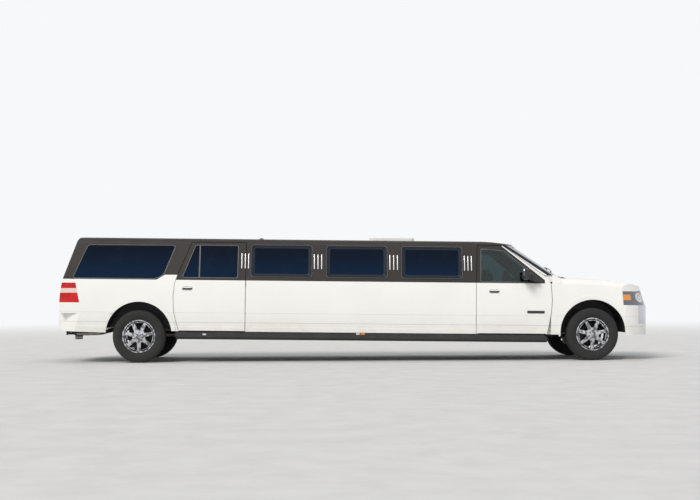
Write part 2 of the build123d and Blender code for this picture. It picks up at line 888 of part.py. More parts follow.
grille_frame = 30.0
grille_bar = 26.0
grille_bar_count = 3
with BuildPart() as grille_cut:
    add(grille_face(-grille_frame, 20))
    clear = grille_top_z - bumper_top_z - 2 * grille_frame
    pitch = (clear + grille_bar) / (grille_bar_count + 1)
    for n in range(grille_bar_count):
        bar_z = bumper_top_z + grille_frame + (n + 1) * pitch - grille_bar / 2
        with Locations((front_end_x - 100, 0, bar_z)):
            Box(600, 1200, grille_bar, mode=Mode.SUBTRACT)
    post_count = 9
    for n in range(post_count):
        bar_y = (n - (post_count - 1) / 2) * 2 * grille_half_high / (post_count + 1)
        with Locations((front_end_x - 100, bar_y, 1020)):
            Box(600, 10, 400, mode=Mode.SUBTRACT)
with BuildPart() as grille:
    add(nose_shell)
    add(grille_face(0, 30), mode=Mode.INTERSECT)
    add(grille_cut.part, mode=Mode.SUBTRACT)
    add(hood_hole, mode=Mode.SUBTRACT)
write(grille.part, "grille")

with BuildPart() as headlight:
    add(clip_outer)
    add(side_prism(lamp_outline, inner=380), mode=Mode.INTERSECT)
    add(clip_lamp_back, mode=Mode.SUBTRACT)
    add(grille_face(2, 30), mode=Mode.SUBTRACT)
    add(hood_hole, mode=Mode.SUBTRACT)
write(both_sides(headlight.part), "headlights")

# Fenders: a skin with a raised lip round the arch, open behind the door edge for the hinge
flare_front = clip_block(-arch_proud)
fender_outline = (
    (front_door_front_x - 77.0 + panel_gap, sill_z),
    (front_door_front_x - 14.0 + panel_gap, 760.0),
    (front_door_front_x + panel_gap, 960.0),
    (front_door_front_x - 14.0 + panel_gap, belt_z),
    (front_door_front_x - 14.0 + panel_gap, 1400.0),
    (lamp_step_x - seam, 1400.0),
    (lamp_step_x - seam, lamp_top_z + seam),
    (fender_seam_x - 7.0 - seam, lamp_top_z + seam),
    (fender_seam_x + 4.0 - seam, bumper_top_z),
    (fender_seam_x, bumper_top_z),
    (fender_seam_x, sill_z),
)
cabin_upper = common(
    cabin_outer,
    zone(front_door_rear_x, front_axle_x, belt_z + 1, roof_z + 60, -1100, 1100),
)
with BuildPart() as fender:
    add(clip_outer)
    add(arch_flare(flare_front, clip_skin, front_arch_x, front_arch_z))
    add(side_prism(fender_outline, inner=100), mode=Mode.INTERSECT)
    add(clip_skin, mode=Mode.SUBTRACT)
    add(hood_hole, mode=Mode.SUBTRACT)
    add(grille_face(2, 30), mode=Mode.SUBTRACT)
    add(cabin_upper, mode=Mode.SUBTRACT)
    add(zone(front_axle_x - 800, hood_rear_x, 1215, 1500, -hood_half_rear - hood_gap, 0),
        mode=Mode.SUBTRACT)
    add(arch_disc(front_arch_x, front_arch_z, arch_radius), mode=Mode.SUBTRACT)
write(both_sides(fender.part), "front_fenders")

# Cowl: a recessed panel between the windshield and the hood, lower than both
cowl_drop = 20.0
with BuildPart() as cowl:
    add(clip_block(cowl_drop))
    add(
        zone(front_door_front_x, hood_rear_x - hood_gap - 4, belt_z + 10, 1420,
             -hood_half_rear + 10, hood_half_rear - 10),
        mode=Mode.INTERSECT,
    )
    add(clip_block(cowl_drop + 8), mode=Mode.SUBTRACT)
    add(cabin_upper, mode=Mode.SUBTRACT)

# Hinges of the hood and the liftgate: a lug with a pin on the body, two knuckles on the lid
lid_pin = 4.0
knuckle_radius = 7.0
lug_half = 10.0
knuckle_reach = 30.0


def lid_lugs(axis_x, axis_z, ys, low_x, high_x, low_z):
    """The body's lugs and pins of a lid that turns about a line across the vehicle."""
    with BuildPart() as lugs:
        for y in ys:
            with Locations(Location((axis_x, y, axis_z), (90, 0, 0))):
                Cylinder(knuckle_radius, 2 * lug_half)
                Cylinder(lid_pin, 2 * knuckle_reach)
            add(zone(low_x, high_x, low_z, axis_z, y - lug_half, y + lug_half))
    return lugs.part


def lid_knuckles(axis_x, axis_z, ys, low_x, high_x, low_z, high_z):
    """The lid's knuckles, with a block that reaches its edge."""
    with BuildPart() as knuckles:
        for y in ys:
            for side in (-1, 1):
                middle = y + side * (lug_half + seat_gap + knuckle_reach) / 2
                width = knuckle_reach - lug_half - 2 * seat_gap
                with Locations(Location((axis_x, middle, axis_z), (90, 0, 0))):
                    Cylinder(knuckle_radius, width)
                add(zone(low_x, high_x, low_z, high_z, middle - width / 2, middle + width / 2))
        for y in ys:
            with Locations(Location((axis_x, y, axis_z), (90, 0, 0))):
                Cylinder(lid_pin + bore_gap, 2 * knuckle_reach + 4, mode=Mode.SUBTRACT)
    return knuckles.part


hood_axis_x = hood_rear_x - 10.0
hood_axis_z = 1316.0
hood_hinge_ys = (-280.0, 280.0)
hinge_way_length = 40.0
hinge_way_half = 34.0
hinge_way_low_z = 1250.0
hinge_way_top_z = 1400.0
with BuildPart() as cowl_full:
    add(cowl.part)
    for y in hood_hinge_ys:
        add(zone(hood_axis_x - hinge_way_length, hood_rear_x, hinge_way_low_z, hinge_way_top_z,
                 y - hinge_way_half, y + hinge_way_half), mode=Mode.SUBTRACT)
write(cowl_full.part, "cowl")
with BuildPart() as windshield_frame_full:
    add(windshield_frame.part)
    add(lid_lugs(hood_axis_x, hood_axis_z, hood_hinge_ys, hood_axis_x - 30, hood_axis_x,
                 hood_axis_z - 20))
write(windshield_frame_full.part, "windshield_frame")
with BuildPart() as hood_full:
    add(hood.part)
    add(lid_knuckles(hood_axis_x, hood_axis_z, hood_hinge_ys, hood_axis_x, hood_axis_x + 56,
                     hood_axis_z - 6, hood_axis_z + 14))
write(hood_full.part, "hood")

# Front bumper: a shell with its own bow, and a bright bar across it
bumper_wall = 26.0
bumper_bar_low_z = 610.0
bumper_split_x = front_end_x - 243.0
bumper_keep = nose_keep(nose_bumper, 380.0, 1000.0, 0.0, 0)
bumper_hollow = nose_keep(nose_bumper, 380.0, 1000.0, 0.0, bumper_wall)
bumper_zone = zone(fender_seam_x + seam, front_end_x + 60, bumper_low_z, bumper_top_z - seam,
                   -1100, 1100)
bar_zone = zone(bumper_split_x, front_end_x + 60, bumper_bar_low_z, bumper_top_z, -1100, 1100)
with BuildPart() as bumper_shell:
    add(clip_block(0))
    add(bumper_keep, mode=Mode.INTERSECT)
    add(bumper_zone, mode=Mode.INTERSECT)
    add(common(clip_block(bumper_wall), bumper_hollow), mode=Mode.SUBTRACT)
    add(arch_disc(front_arch_x, front_arch_z, arch_radius, inner=-1200, reach=2400),
        mode=Mode.SUBTRACT)
write(without(bumper_shell.part, bar_zone), "front_bumper")
write(
    common(bumper_shell.part, zone(bumper_split_x + seam, front_end_x + 60,
                                   bumper_bar_low_z + seam, bumper_top_z, -1100, 1100)),
    "front_bumper_bar",
)


# Tail: lamps, liftgate and bumper
with BuildPart() as tail_lamp:
    add(shell_zone(tail_lamp_outline))
    add(gate_opening, mode=Mode.SUBTRACT)
write(both_sides(tail_lamp.part), "tail_lights")

gate_window_low_z = 1243.0
gate_window_high_z = 1738.0
with BuildPart() as gate_window:
    with BuildSketch(Plane.YZ.offset(rear_end_x - 100)):
        Polygon(
            (-770, gate_window_low_z),
            (770, gate_window_low_z),
            (640, gate_window_high_z),
            (-640, gate_window_high_z),
            align=None,
        )
        fillet(vertices(), 45)
    extrude(amount=600)
gate_space = gate_prism(0, gate_seam_x)
with BuildPart() as liftgate:
    add(cabin_outer)
    add(gate_space, mode=Mode.INTERSECT)
    add(cabin_inner, mode=Mode.SUBTRACT)
    add(gate_window.part, mode=Mode.SUBTRACT)
with BuildPart() as liftgate_glass:
    add(cabin_glass)
    add(gate_window.part, mode=Mode.INTERSECT)
    add(cabin_skin, mode=Mode.SUBTRACT)
write(liftgate_glass.part, "liftgate_glass")

tail_row = (0.0, 62.0, 640.0, 205.0, 880.0, 560.0)
rear_bumper_wall = 28.0


def tail_plan(inset, low_z, high_z):
    """All that lies ahead of the rear bumper's outline in plan."""
    at = dict(zip(nose_columns, tail_row))
    back = rear_end_x + inset
    with BuildPart() as keep:
        with BuildSketch(Plane.XY.offset(low_z)):
            with BuildLine():
                bow = ThreePointArc(
                    (back + at["bow_x"], -at["bow_half"]),
                    (back + at["centre_x"], 0),
                    (back + at["bow_x"], at["bow_half"]),
                )
                corner = ThreePointArc(
                    bow @ 1,
                    (back + at["corner_x"], at["corner_half"] - inset * 0.7),
                    (back + at["side_x"], body_half + 14 - inset),
                )
                mirror([corner], about=Plane.XZ)
                Polyline(
                    corner @ 1,
                    (rear_axle_x, body_half + 14 - inset),
                    (rear_axle_x, -body_half - 14 + inset),
                    (back + at["side_x"], -body_half - 14 + inset),
                )
            make_face()
        extrude(amount=high_z - low_z)
    return keep.part


rear_bumper_outline = (
    (rear_axle_x - 300, 400),
    (rear_axle_x - 1120, 420),
    (rear_end_x + 40, 448),
    (rear_end_x, 520),
    (rear_end_x, 640),
    (rear_end_x + 20, rear_bumper_top_z),
    (rear_axle_x - 300, rear_bumper_top_z),
)
with BuildPart() as rear_bumper:
    add(cabin_bar(0, 0, 0, 390.0, rear_end_x - 10, rear_axle_x - 300))
    add(tail_plan(0, 380, 800), mode=Mode.INTERSECT)
    add(side_prism(rear_bumper_outline, inner=-1200, reach=2400), mode=Mode.INTERSECT)
    add(
        common(
            cabin_bar(rear_bumper_wall, rear_bumper_wall, 0, 380.0, rear_end_x - 10,
                      rear_axle_x - 290),
            tail_plan(rear_bumper_wall, 370, 810),
        ),
        mode=Mode.SUBTRACT,
    )
    add(arch_disc(rear_arch_x, rear_arch_z, arch_radius, inner=-1200, reach=2400),
        mode=Mode.SUBTRACT)
with BuildPart() as bumper_step:
    add(cabin_bar(rear_bumper_wall - 1, 100, 0, 390.0, rear_end_x - 10, tail_low_x + 60))
    add(tail_plan(rear_bumper_wall - 1, 380, 800), mode=Mode.INTERSECT)
    add(zone(rear_end_x, tail_low_x + 60, rear_bumper_top_z - 24, rear_bumper_top_z, -1100, 1100),
        mode=Mode.INTERSECT)
with BuildPart() as rear_bumper_full:
    add(rear_bumper.part)
    add(bumper_step.part)
write(rear_bumper_full.part, "rear_bumper")

# Roof hatch: a low ribbed vent on the crown of the roof
hatch_length = 700.0
hatch_width = 560.0
hatch_height = 46.0
hatch_x = 600.0
with BuildPart() as roof_hatch:
    with BuildSketch(Plane.XY.offset(roof_z - 30)):
        RectangleRounded(hatch_length, hatch_width, 60)
    extrude(amount=hatch_height + 30)
    fillet(faces().sort_by(Axis.Z)[-1].edges(), 14)
    with BuildSketch(Plane.XY.offset(roof_z + hatch_height - 8)):
        with GridLocations(66, 0, 9, 1):
            RectangleRounded(30, hatch_width - 90, 10)
    extrude(amount=20, mode=Mode.SUBTRACT)
roof_hatch_on = without(roof_hatch.part.moved(Location((hatch_x, 0, 0))), cabin_outer)
write(roof_hatch_on, "roof_hatch")

# Running boards under the doors
board_rear_x = rear_axle_x + 559.0
board_front_x = front_axle_x - 693.0
with BuildPart() as running_board:
    with BuildSketch(Plane.YZ.offset(board_rear_x)):
        Polygon(
            (-815, sill_z),
            (-966, sill_z),
            (-985, sill_z - 14),
            (-980, 350),
            (-942, 314),
            (-850, 330),
            (-815, 392),
            align=None,
        )
    extrude(amount=board_front_x - board_rear_x)
    chamfer(edges().filter_by(Axis.Y).group_by(Axis.X)[-1].group_by(Axis.Z)[0], 60)
write(both_sides(running_board.part), "running_boards")

# Floor, with sills inside the running boards and a raised part over the rear axle
rear_floor_z = 647.0
rear_floor_x = rear_door_rear_x + 90.0
floor_front_x = front_axle_x - 200.0
floor_half = side_half(floor_z) - wall_low - seat_gap
pin_depth = body_half - hinge_depth - (side_half(sill_z) - wall_low)
door_sweep = hypot(hinge_back - rebate, pin_depth) + swing_gap
with BuildPart() as floor_right:
    add(zone(rear_floor_x, floor_front_x, floor_z - floor_thickness, floor_z, -floor_half, 0))
    add(zone(rear_floor_x, front_door_front_x - 10, sill_z, floor_z - floor_thickness, -floor_half,
             -820))
    add(zone(rear_floor_x - 20, rear_floor_x, floor_z - floor_thickness, rear_floor_z,
             -floor_half, 0))
    add(zone(tail_low_x + tail_wall + 20, rear_floor_x, rear_floor_z - floor_thickness,
             rear_floor_z, -floor_half, 0))
    add(arch_disc(rear_arch_x, rear_arch_z, arch_radius + 12, inner=555), mode=Mode.SUBTRACT)
    add(arch_disc(front_arch_x, front_arch_z, arch_radius + 12, inner=480), mode=Mode.SUBTRACT)
    add(zone(rear_end_x, rear_axle_x - 700, 500, 700, high_y=-780), mode=Mode.SUBTRACT)
    pin_x, pin_y = hinge_line(rear_door_front_x)
    with Locations((pin_x, pin_y, floor_z)):
        Cylinder(door_sweep, 2 * (floor_z - sill_z) + 20, mode=Mode.SUBTRACT)
with BuildPart() as floor_pan:
    add(floor_right.part)
    mirror(about=Plane.XZ)
    add(cabin_inner, mode=Mode.INTERSECT)
    add(frame_passage.part, mode=Mode.SUBTRACT)
write(floor_pan.part, "floor_pan")

# Wheel liners
liner_wall = 5.0
liner_gap = 2.0
liner_reach = 700.0
liner_low_z = sill_z + 40.0
liner_top_z = 1200.0
front_liner_inner_y = 486.0
rear_liner_inner_y = 556.0
axle_way_half = 225.0
axle_way_top = 330.0


def wheel_liner(block, x, z, inner_y):
    """The dark lining inside an arch, with its inner wall."""
    with BuildPart() as liner:
        add(arch_disc(x, z, arch_radius + liner_gap + liner_wall, inner=inner_y))
        add(arch_disc(x, z, arch_radius + liner_gap, inner=inner_y + liner_wall),
            mode=Mode.SUBTRACT)
        add(zone(x - liner_reach, x + liner_reach, liner_low_z, liner_top_z),
            mode=Mode.INTERSECT)
        add(zone(x - axle_way_half, x + axle_way_half, sill_z, z + axle_way_top,
                 -inner_y - 20, -inner_y + liner_wall), mode=Mode.SUBTRACT)
        add(block, mode=Mode.INTERSECT)
    return liner.part


with BuildPart() as wheel_liners:
    add(wheel_liner(cabin_skin, rear_arch_x, rear_arch_z, rear_liner_inner_y))
    add(wheel_liner(clip_post, front_arch_x, front_arch_z, front_liner_inner_y))
    add(rear_bumper_full.part, mode=Mode.SUBTRACT)
    add(bumper_shell.part, mode=Mode.SUBTRACT)
    mirror(about=Plane.XZ)
write(wheel_liners.part, "wheel_liners")

# Ladder frame: front, stretch and rear sections end to end, with a kick up over each axle
rail_y = 440.0
rail_width = 70.0
rail_height = 134.0
rail_line = (
    (tail_low_x + 110.0, 560.0),
    (rear_axle_x + 290.0, 560.0),
    (rear_axle_x + 580.0, 455.0),
    (front_axle_x - 500.0, 455.0),
    (front_axle_x - 300.0, 540.0),
    (front_axle_x + 700.0, 540.0),
)
cross_height = 44.0
stretch_cross_count = 5
stretch_cross_start = rear_axle_x + 909.5
stretch_cross_end = front_axle_x - 1573.5
stretch_cross_pitch = (stretch_cross_end - stretch_cross_start) / (stretch_cross_count - 1)
cross_xs = [stretch_cross_start + n * stretch_cross_pitch for n in range(stretch_cross_count)]
cross_xs += [rear_end_x + 308.5, rear_axle_x - 440.5, front_axle_x + 626.5]
frame_joints = (rear_axle_x + 640.0, front_axle_x - 560.0)
with BuildPart() as frame_rail:
    with BuildSketch(Plane.XZ.offset(rail_y - rail_width / 2)):
        Polygon(
            *[(x, z - rail_height / 2) for x, z in rail_line],
            *[(x, z + rail_height / 2) for x, z in reversed(rail_line)],
            align=None,
        )
    extrude(amount=rail_width)


def rail_height_at(x):
    """The rail's middle height at a station."""
    for (x0, z0), (x1, z1) in zip(rail_line, rail_line[1:]):
        if x <= x1:
            return z0 + (z1 - z0) * (x - x0) / (x1 - x0)
    return rail_line[-1][1]


with BuildPart() as chassis_frame:
    add(frame_rail.part)
    mirror(about=Plane.XZ)
    for x in cross_xs:
        top = rail_height_at(x) + rail_height / 2
        with Locations((x, 0, top - cross_height / 2)):
            Box(90, 2 * rail_y - rail_width, cross_height)
    for x in frame_joints:
        add(zone(x, x + seat_gap, 200, 800, -600, 600), mode=Mode.SUBTRACT)
write(chassis_frame.part, "chassis_frame")

gate_axis_x = gate_seam_x + 6.0
gate_axis_z = roof_z - 10.0

gate_hinge_ys = (-180.0, 180.0)
with BuildPart() as roof_full:
    add(common(roof_shell.part, roof_skin_zone))
    add(lid_lugs(gate_axis_x, gate_axis_z, gate_hinge_ys, gate_axis_x, gate_axis_x + 24,
                 gate_axis_z - 14))
write(roof_full.part, "roof_panel")
with BuildPart() as liftgate_full:
    add(liftgate.part)
    for y in gate_hinge_ys:
        add(zone(gate_axis_x - 14, gate_axis_x, gate_axis_z - 24, gate_axis_z + 20,
                 y - lug_half - 3, y + lug_half + 3), mode=Mode.SUBTRACT)
    add(lid_knuckles(gate_axis_x, gate_axis_z, gate_hinge_ys, gate_axis_x - 16, gate_axis_x,
                     gate_axis_z - 14, gate_axis_z + 4))
write(liftgate_full.part, "liftgate")

# Radiator support: an upright frame that carries the nose, with the radiator in it
support_x = front_axle_x + 700.0
support_depth = 40.0
support_half = 700.0
support_low_z = 480.0
support_top_z = 1085.0
grille_bracket_half = 420.0
grille_bracket_low = 5.0
grille_bracket_high = 25.0
bumper_bracket_y = 480.0
bumper_bracket_half = 45.0
bumper_bracket_levels = ((690.0, 750.0), (500.0, 560.0))
radiator_z = 760.0
radiator_width = 760.0
radiator_height = 460.0
radiator_recess = 30.0
lamp_room = clip_layer(lamp_depth + seat_gap)
bumper_room = common(
    clip_block(bumper_wall + seat_gap),
    nose_keep(nose_bumper, 380.0, 1000.0, 0.0, bumper_wall + seat_gap),
)
with BuildPart() as support_upper:
    add(zone(support_x, support_x + support_depth, bumper_top_z, support_top_z,
             -support_half, support_half))
    add(zone(support_x, front_end_x, bumper_top_z + grille_bracket_low,
             bumper_top_z + grille_bracket_high, -grille_bracket_half, grille_bracket_half))
    add(lamp_room, mode=Mode.INTERSECT)
with BuildPart() as support_lower:
    add(zone(support_x, support_x + support_depth, support_low_z, bumper_top_z,
             -support_half, support_half))
    for y in (-bumper_bracket_y, bumper_bracket_y):
        for low, high in bumper_bracket_levels:
            add(zone(support_x, front_end_x, low, high,
                     y - bumper_bracket_half, y + bumper_bracket_half))
    add(bumper_room, mode=Mode.INTERSECT)
with BuildPart() as radiator_support:
    add(support_upper.part)
    add(support_lower.part)
    with Locations((support_x + support_depth, 0, radiator_z)):
        Box(radiator_recess, radiator_width, radiator_height, mode=Mode.SUBTRACT)
write(radiator_support.part, "radiator_support")

# Engine, bell housing and gearbox as plain blocks, and the mounts that reach the rails
engine_front = 420.0
engine_back = 250.0
bell_back = 480.0
gearbox_back = 1180.0
mount_back = 40.0
mount_front = 140.0
mount_y = rail_y - rail_width / 2 - seat_gap
engine_blocks = (
    (-engine_back, engine_front, 480.0, 1060.0, 290.0),
    (-bell_back, -engine_back, 440.0, 720.0, 200.0),
    (-gearbox_back, -bell_back, 375.0, 515.0, 130.0),
    (mount_back, mount_front, 510.0, 570.0, mount_y),
)
with BuildPart() as engine_block:
    for back, front, low, high, half in engine_blocks:
        add(zone(front_axle_x + back, front_axle_x + front, low, high, -half, half))
write(engine_block.part, "engine_block")

# Fuel tank, between the rails ahead of the rear axle
tank_x = rear_axle_x + 1500.0
tank_y = 210.0
tank_length = 900.0
tank_width = 300.0
tank_height = 180.0
tank_edge = 30.0
under_floor_z = floor_z - floor_thickness - seat_gap
with BuildPart() as fuel_tank:
    with Locations((tank_x, tank_y, under_floor_z - tank_height / 2)):
        Box(tank_length, tank_width, tank_height)
    fillet(edges(), tank_edge)
write(fuel_tank.part, "fuel_tank")

# Exhaust: a pipe with a muffler, and a tail pipe behind the rear wheel
pipe_y = -245.0
pipe_z = 420.0
pipe_over_axle_z = 450.0
pipe_radius = 32.0
pipe_bend = 110.0
muffler_x = rear_axle_x + 1600.0
muffler_radius = 95.0
muffler_length = 620.0
hanger_pitch = 400.0
hanger_size = (24.0, 8.0, 40.0)
with BuildPart() as exhaust:
    with BuildLine():
        pipe_line = FilletPolyline(
            (front_axle_x - 700, pipe_y, pipe_z),
            (rear_axle_x + 700, pipe_y, pipe_z),
            (rear_axle_x + 420, pipe_y, pipe_over_axle_z),
            (rear_axle_x - 400, pipe_y, pipe_over_axle_z),
            (rear_axle_x - 640, -540, 385),
            (rear_axle_x - 1000, -560, 372),
            radius=pipe_bend,
        )
    with BuildSketch(Plane(origin=pipe_line @ 0, z_dir=pipe_line % 0)):
        Circle(pipe_radius)
    sweep()
    with Locations(Location((muffler_x, pipe_y, pipe_z), (0, 90, 0))):
        Cylinder(muffler_radius, muffler_length)
    for x in (muffler_x - hanger_pitch / 2, muffler_x + hanger_pitch / 2):
        with Locations((x, pipe_y, under_floor_z)):
            Box(*hanger_size, align=(Align.CENTER, Align.CENTER, Align.MAX))
write(exhaust.part, "exhaust")

# Suspension sizes that the driveline keeps clear of
king_y = wheel_y - 105.0
arm_half = 210.0
beam_width = 50.0
upright_half_x = 28.0
upright_half_y = 26.0

# Driveline: the long shaft, the axle's housing and its two half shafts, drawn as they stand
axle_z = tyre_radius
half_shaft_radius = 24.0
housing_radius = 120.0
housing_width = 190.0
axle_tube_radius = 42.0
axle_tube_length = 560.0
snout_x = rear_axle_x + 110.0
snout_radius = 72.0
snout_length = 220.0
long_shaft_radius = 32.0
long_shaft_front_z = 445.0
with BuildPart() as driveline:
    with Locations(Location((rear_axle_x, 0, axle_z), (90, 0, 0))):
        Cylinder(half_shaft_radius, 2 * (king_y - upright_half_y - seat_gap))
    with Locations((rear_axle_x, 0, axle_z)):
        Cylinder(housing_radius, housing_width, rotation=(90, 0, 0))
        Cylinder(axle_tube_radius, axle_tube_length, rotation=(90, 0, 0))
    with Locations((snout_x, 0, axle_z)):
        Cylinder(snout_radius, snout_length, rotation=(0, 90, 0))
    with Locations((rear_axle_x, 0, 300)):
        Box(2 * (arm_half - beam_width - seat_gap), 80, 30)
    shaft_start = (rear_axle_x + 200, axle_z)
    shaft_end = turned(front_axle_x - gearbox_back, long_shaft_front_z, body_rake)
    run = hypot(shaft_end[0] - shaft_start[0], shaft_end[1] - shaft_start[1])
    lean = degrees(atan2(shaft_end[1] - shaft_start[1], shaft_end[0] - shaft_start[0]))
    with Locations(
        Location(
            ((shaft_start[0] + shaft_end[0]) / 2, 0, (shaft_start[1] + shaft_end[1]) / 2),
            (0, 90 - lean, 0),
        )
    ):
        Cylinder(long_shaft_radius, run - 4)
write(driveline.part, "driveline", body_piece=False)

# Wheels: a rim with seven spokes, its hub and brake disc, and a tyre with a hollow carcass
rim_width = 220.0
spoke_count = 7
hub_radius = 76.0
hub_bore = 22.3
disc_radius = 165.0
disc_low_y = 795.0
disc_high_y = 820.0
rim_low_y = wheel_y - rim_width / 2
rim_high_y = wheel_y + rim_width / 2


def wheel_profile(axle_x, points):
    """A closed outline of distance across and radius, revolved round a right-hand axle."""
    with BuildPart() as ring:
        with BuildSketch(Plane.YZ.offset(axle_x)):
            Polygon(*[(-y, axle_z + r) for y, r in points], align=None)
        revolve(axis=Axis((axle_x, 0, axle_z), (0, 1, 0)))
    return ring.part


def rim(axle_x):
    """A right-hand rim."""
    low, high = rim_low_y, rim_high_y
    barrel = (
        (low, 214), (low, rim_radius), (low + 8, rim_radius), (low + 12, 238), (low + 55, 236),
        (low + 72, 224), (low + 130, 224), (high - 50, 236), (high - 12, 238),
        (high - 8, rim_radius), (high, rim_radius), (high, 232), (high - 18, 218), (high - 60, 214),
    )
    face = ((885, 0), (885, hub_radius), (912, 216), (936, 216), (948, hub_radius), (952, 30), (952, 0))
    hub = ((disc_high_y, 0), (disc_high_y, hub_radius), (886, hub_radius), (886, 0))
    disc = ((disc_low_y, 0), (disc_low_y, disc_radius), (disc_high_y, disc_radius), (disc_high_y, 0))
    with BuildPart() as wheel:
        add(wheel_profile(axle_x, face))
        with BuildSketch(Plane.XZ.offset(700)):
            with Locations((axle_x, axle_z)):
                with PolarLocations(0, spoke_count, start_angle=90):
                    Polygon((98, -14), (98, 14), (203, 72), (203, -72), align=None)
            fillet(vertices(), 11)
        extrude(amount=300, mode=Mode.SUBTRACT)
        add(wheel_profile(axle_x, barrel))
        add(wheel_profile(axle_x, hub))
        add(wheel_profile(axle_x, disc))
        with Locations(Location((axle_x, -wheel_y + 20, axle_z), (90, 0, 0))):
            Cylinder(hub_bore, 160, align=(Align.CENTER, Align.CENTER, Align.CENTER),
                     mode=Mode.SUBTRACT)
    return wheel.part


def tyre(axle_x):
    """A right-hand tyre."""
    c = wheel_y
    half = tyre_width / 2
    outer = [(97.6, 238.3), (101.5, 250), (109, 262), (half, 318), (half - 6, 356), (half - 18, 382),
             (half - 38, 394)]
    inner = [(86, 238.3), (92, 262), (half - 16, 318), (half - 22, 352), (half - 34, 372), (half - 50, 380)]
    ring = [(c - w, r) for w, r in outer] + [(c, tyre_radius)]
    ring += [(c + w, r) for w, r in reversed(outer)]
    ring += [(c + w, r) for w, r in inner] + [(c, 383)] + [(c - w, r) for w, r in reversed(inner)]
    return wheel_profile(axle_x, ring)


for end, axle_x in {"front": front_axle_x, "rear": rear_axle_x}.items():
    write_pair(rim(axle_x), f"{end}_rim", body_piece=False)
    write_pair(tyre(axle_x), f"{end}_tyre", body_piece=False)

# Knuckles: the uprights that carry the wheels, with a spindle, two studs and a brake caliper
stud_radius = 12.0
low_arm_z = 215.0
high_arm_z = 548.0
arm_thickness = 26.0
arm_width = 70.0
arm_tip_half = 26.0
arm_tip_room = 90.0
arm_boss_radius = 30.0
spindle_boss_radius = 48.0
spindle_boss_length = 40.0
spindle_radius = 22.0
spindle_length = 130.0
caliper_back = 192.0
caliper_front = 118.0
caliper_half_height = 58.0
caliper_outer_y = 842.0
caliper_foot_front = 20.0
caliper_foot_half_height = 46.0
caliper_foot_inner = 10.0
disc_room = 6.0


def knuckle(axle_x, stud):
    """A right-hand upright."""
    with BuildPart() as upright:
        add(
            zone(axle_x - upright_half_x, axle_x + upright_half_x,
                 low_arm_z + arm_thickness + seat_gap, high_arm_z - seat_gap,
                 -king_y - upright_half_y, -king_y + upright_half_y)
        )
        with Locations(Location((axle_x, -king_y - 24, axle_z), (90, 0, 0))):
            Cylinder(spindle_boss_radius, spindle_boss_length,
                     align=(Align.CENTER, Align.CENTER, Align.MIN))
        with Locations(Location((axle_x, -king_y, axle_z), (90, 0, 0))):
            Cylinder(spindle_radius, spindle_length,
                     align=(Align.CENTER, Align.CENTER, Align.MIN))
        add(zone(axle_x - caliper_back, axle_x - caliper_foot_front,
                 axle_z - caliper_foot_half_height, axle_z + caliper_foot_half_height,
                 -king_y - upright_half_y, -king_y + caliper_foot_inner))
        add(zone(axle_x - caliper_back, axle_x - caliper_front,
                 axle_z - caliper_half_height, axle_z + caliper_half_height,
                 -caliper_outer_y, -king_y - caliper_foot_inner))
        with Locations(Location((axle_x, -(disc_low_y + disc_high_y) / 2, axle_z), (90, 0, 0))):
            Cylinder(disc_radius + disc_room, disc_high_y - disc_low_y + 2 * disc_room,
                     mode=Mode.SUBTRACT)
        with Locations(Location((axle_x, -king_y, axle_z), (90, 0, 0))):
            Cylinder(spindle_radius, spindle_length,
                     align=(Align.CENTER, Align.CENTER, Align.MIN))
        if stud:
            with Locations((axle_x, -king_y, (low_arm_z + high_arm_z + arm_thickness) / 2)):
                Cylinder(stud_radius, high_arm_z - low_arm_z + arm_thickness)
    return upright.part


def arm(axle_x, bottom_z, root_y, root_half, bore):
    """A right-hand control arm, with a boss at the upright."""
    with BuildPart() as wishbone:
        with BuildSketch(Plane.XY.offset(bottom_z)):
            with BuildLine():
                Polyline(
                    (axle_x - root_half, -root_y),
                    (axle_x - arm_tip_half, -king_y),
                    (axle_x + arm_tip_half, -king_y),
                    (axle_x + root_half, -root_y),
                    (axle_x + root_half - arm_width, -root_y),
                    (axle_x, -king_y + arm_tip_room),
                    (axle_x - root_half + arm_width, -root_y),
                    (axle_x - root_half, -root_y),
                )
            make_face()
            with Locations((axle_x, -king_y)):
                Circle(arm_boss_radius)
                if bore:
                    Circle(stud_radius + bore_gap, mode=Mode.SUBTRACT)
        extrude(amount=arm_thickness)
    return wishbone.part


front_knuckle = knuckle(front_axle_x, stud=True)
write_pair(front_knuckle, "front_knuckle", body_piece=False)


low_arm_root_y = 380.0
high_arm_root_y = 500.0
high_arm_half = 130.0
beam_top_z = 318.0
beam_end_y = 395.0
elbow_low_z = 290.0
elbow_top_z = 380.0
elbow_inner_y = 390.0
tower_low_z = 330.0
tower_outer_y = 504.0
tower_inner_y = rail_y + rail_width / 2 + seat_gap
shelf_low_z = high_arm_z - 8.0
shelf_top_z = high_arm_z + 34.0


def suspension(axle_x, bore, tower_top):
    """The arms of one axle with the beam and the towers that hold them."""
    with BuildPart() as axle:
        add(arm(axle_x, low_arm_z, low_arm_root_y, arm_half, bore))
        add(arm(axle_x, high_arm_z, high_arm_root_y, high_arm_half, bore))
        for low_x in (axle_x - arm_half, axle_x + arm_half - beam_width):
            high_x = low_x + beam_width
            add(zone(low_x, high_x, low_arm_z, beam_top_z, -beam_end_y, 0))
            add(zone(low_x, high_x, elbow_low_z, elbow_top_z, -tower_outer_y, -elbow_inner_y))
            add(zone(low_x, high_x, tower_low_z, tower_top, -tower_outer_y, -tower_inner_y))
        add(zone(axle_x - arm_half, axle_x + arm_half, shelf_low_z, shelf_top_z,
                 -tower_outer_y, -tower_inner_y))
        if not bore:
            add(knuckle(axle_x, stud=False))
            add(zone(axle_x - upright_half_x, axle_x + upright_half_x, low_arm_z,
                     high_arm_z + arm_thickness, -king_y - upright_half_y,
                     -king_y + upright_half_y))
        mirror(about=Plane.XZ)
    return axle.part


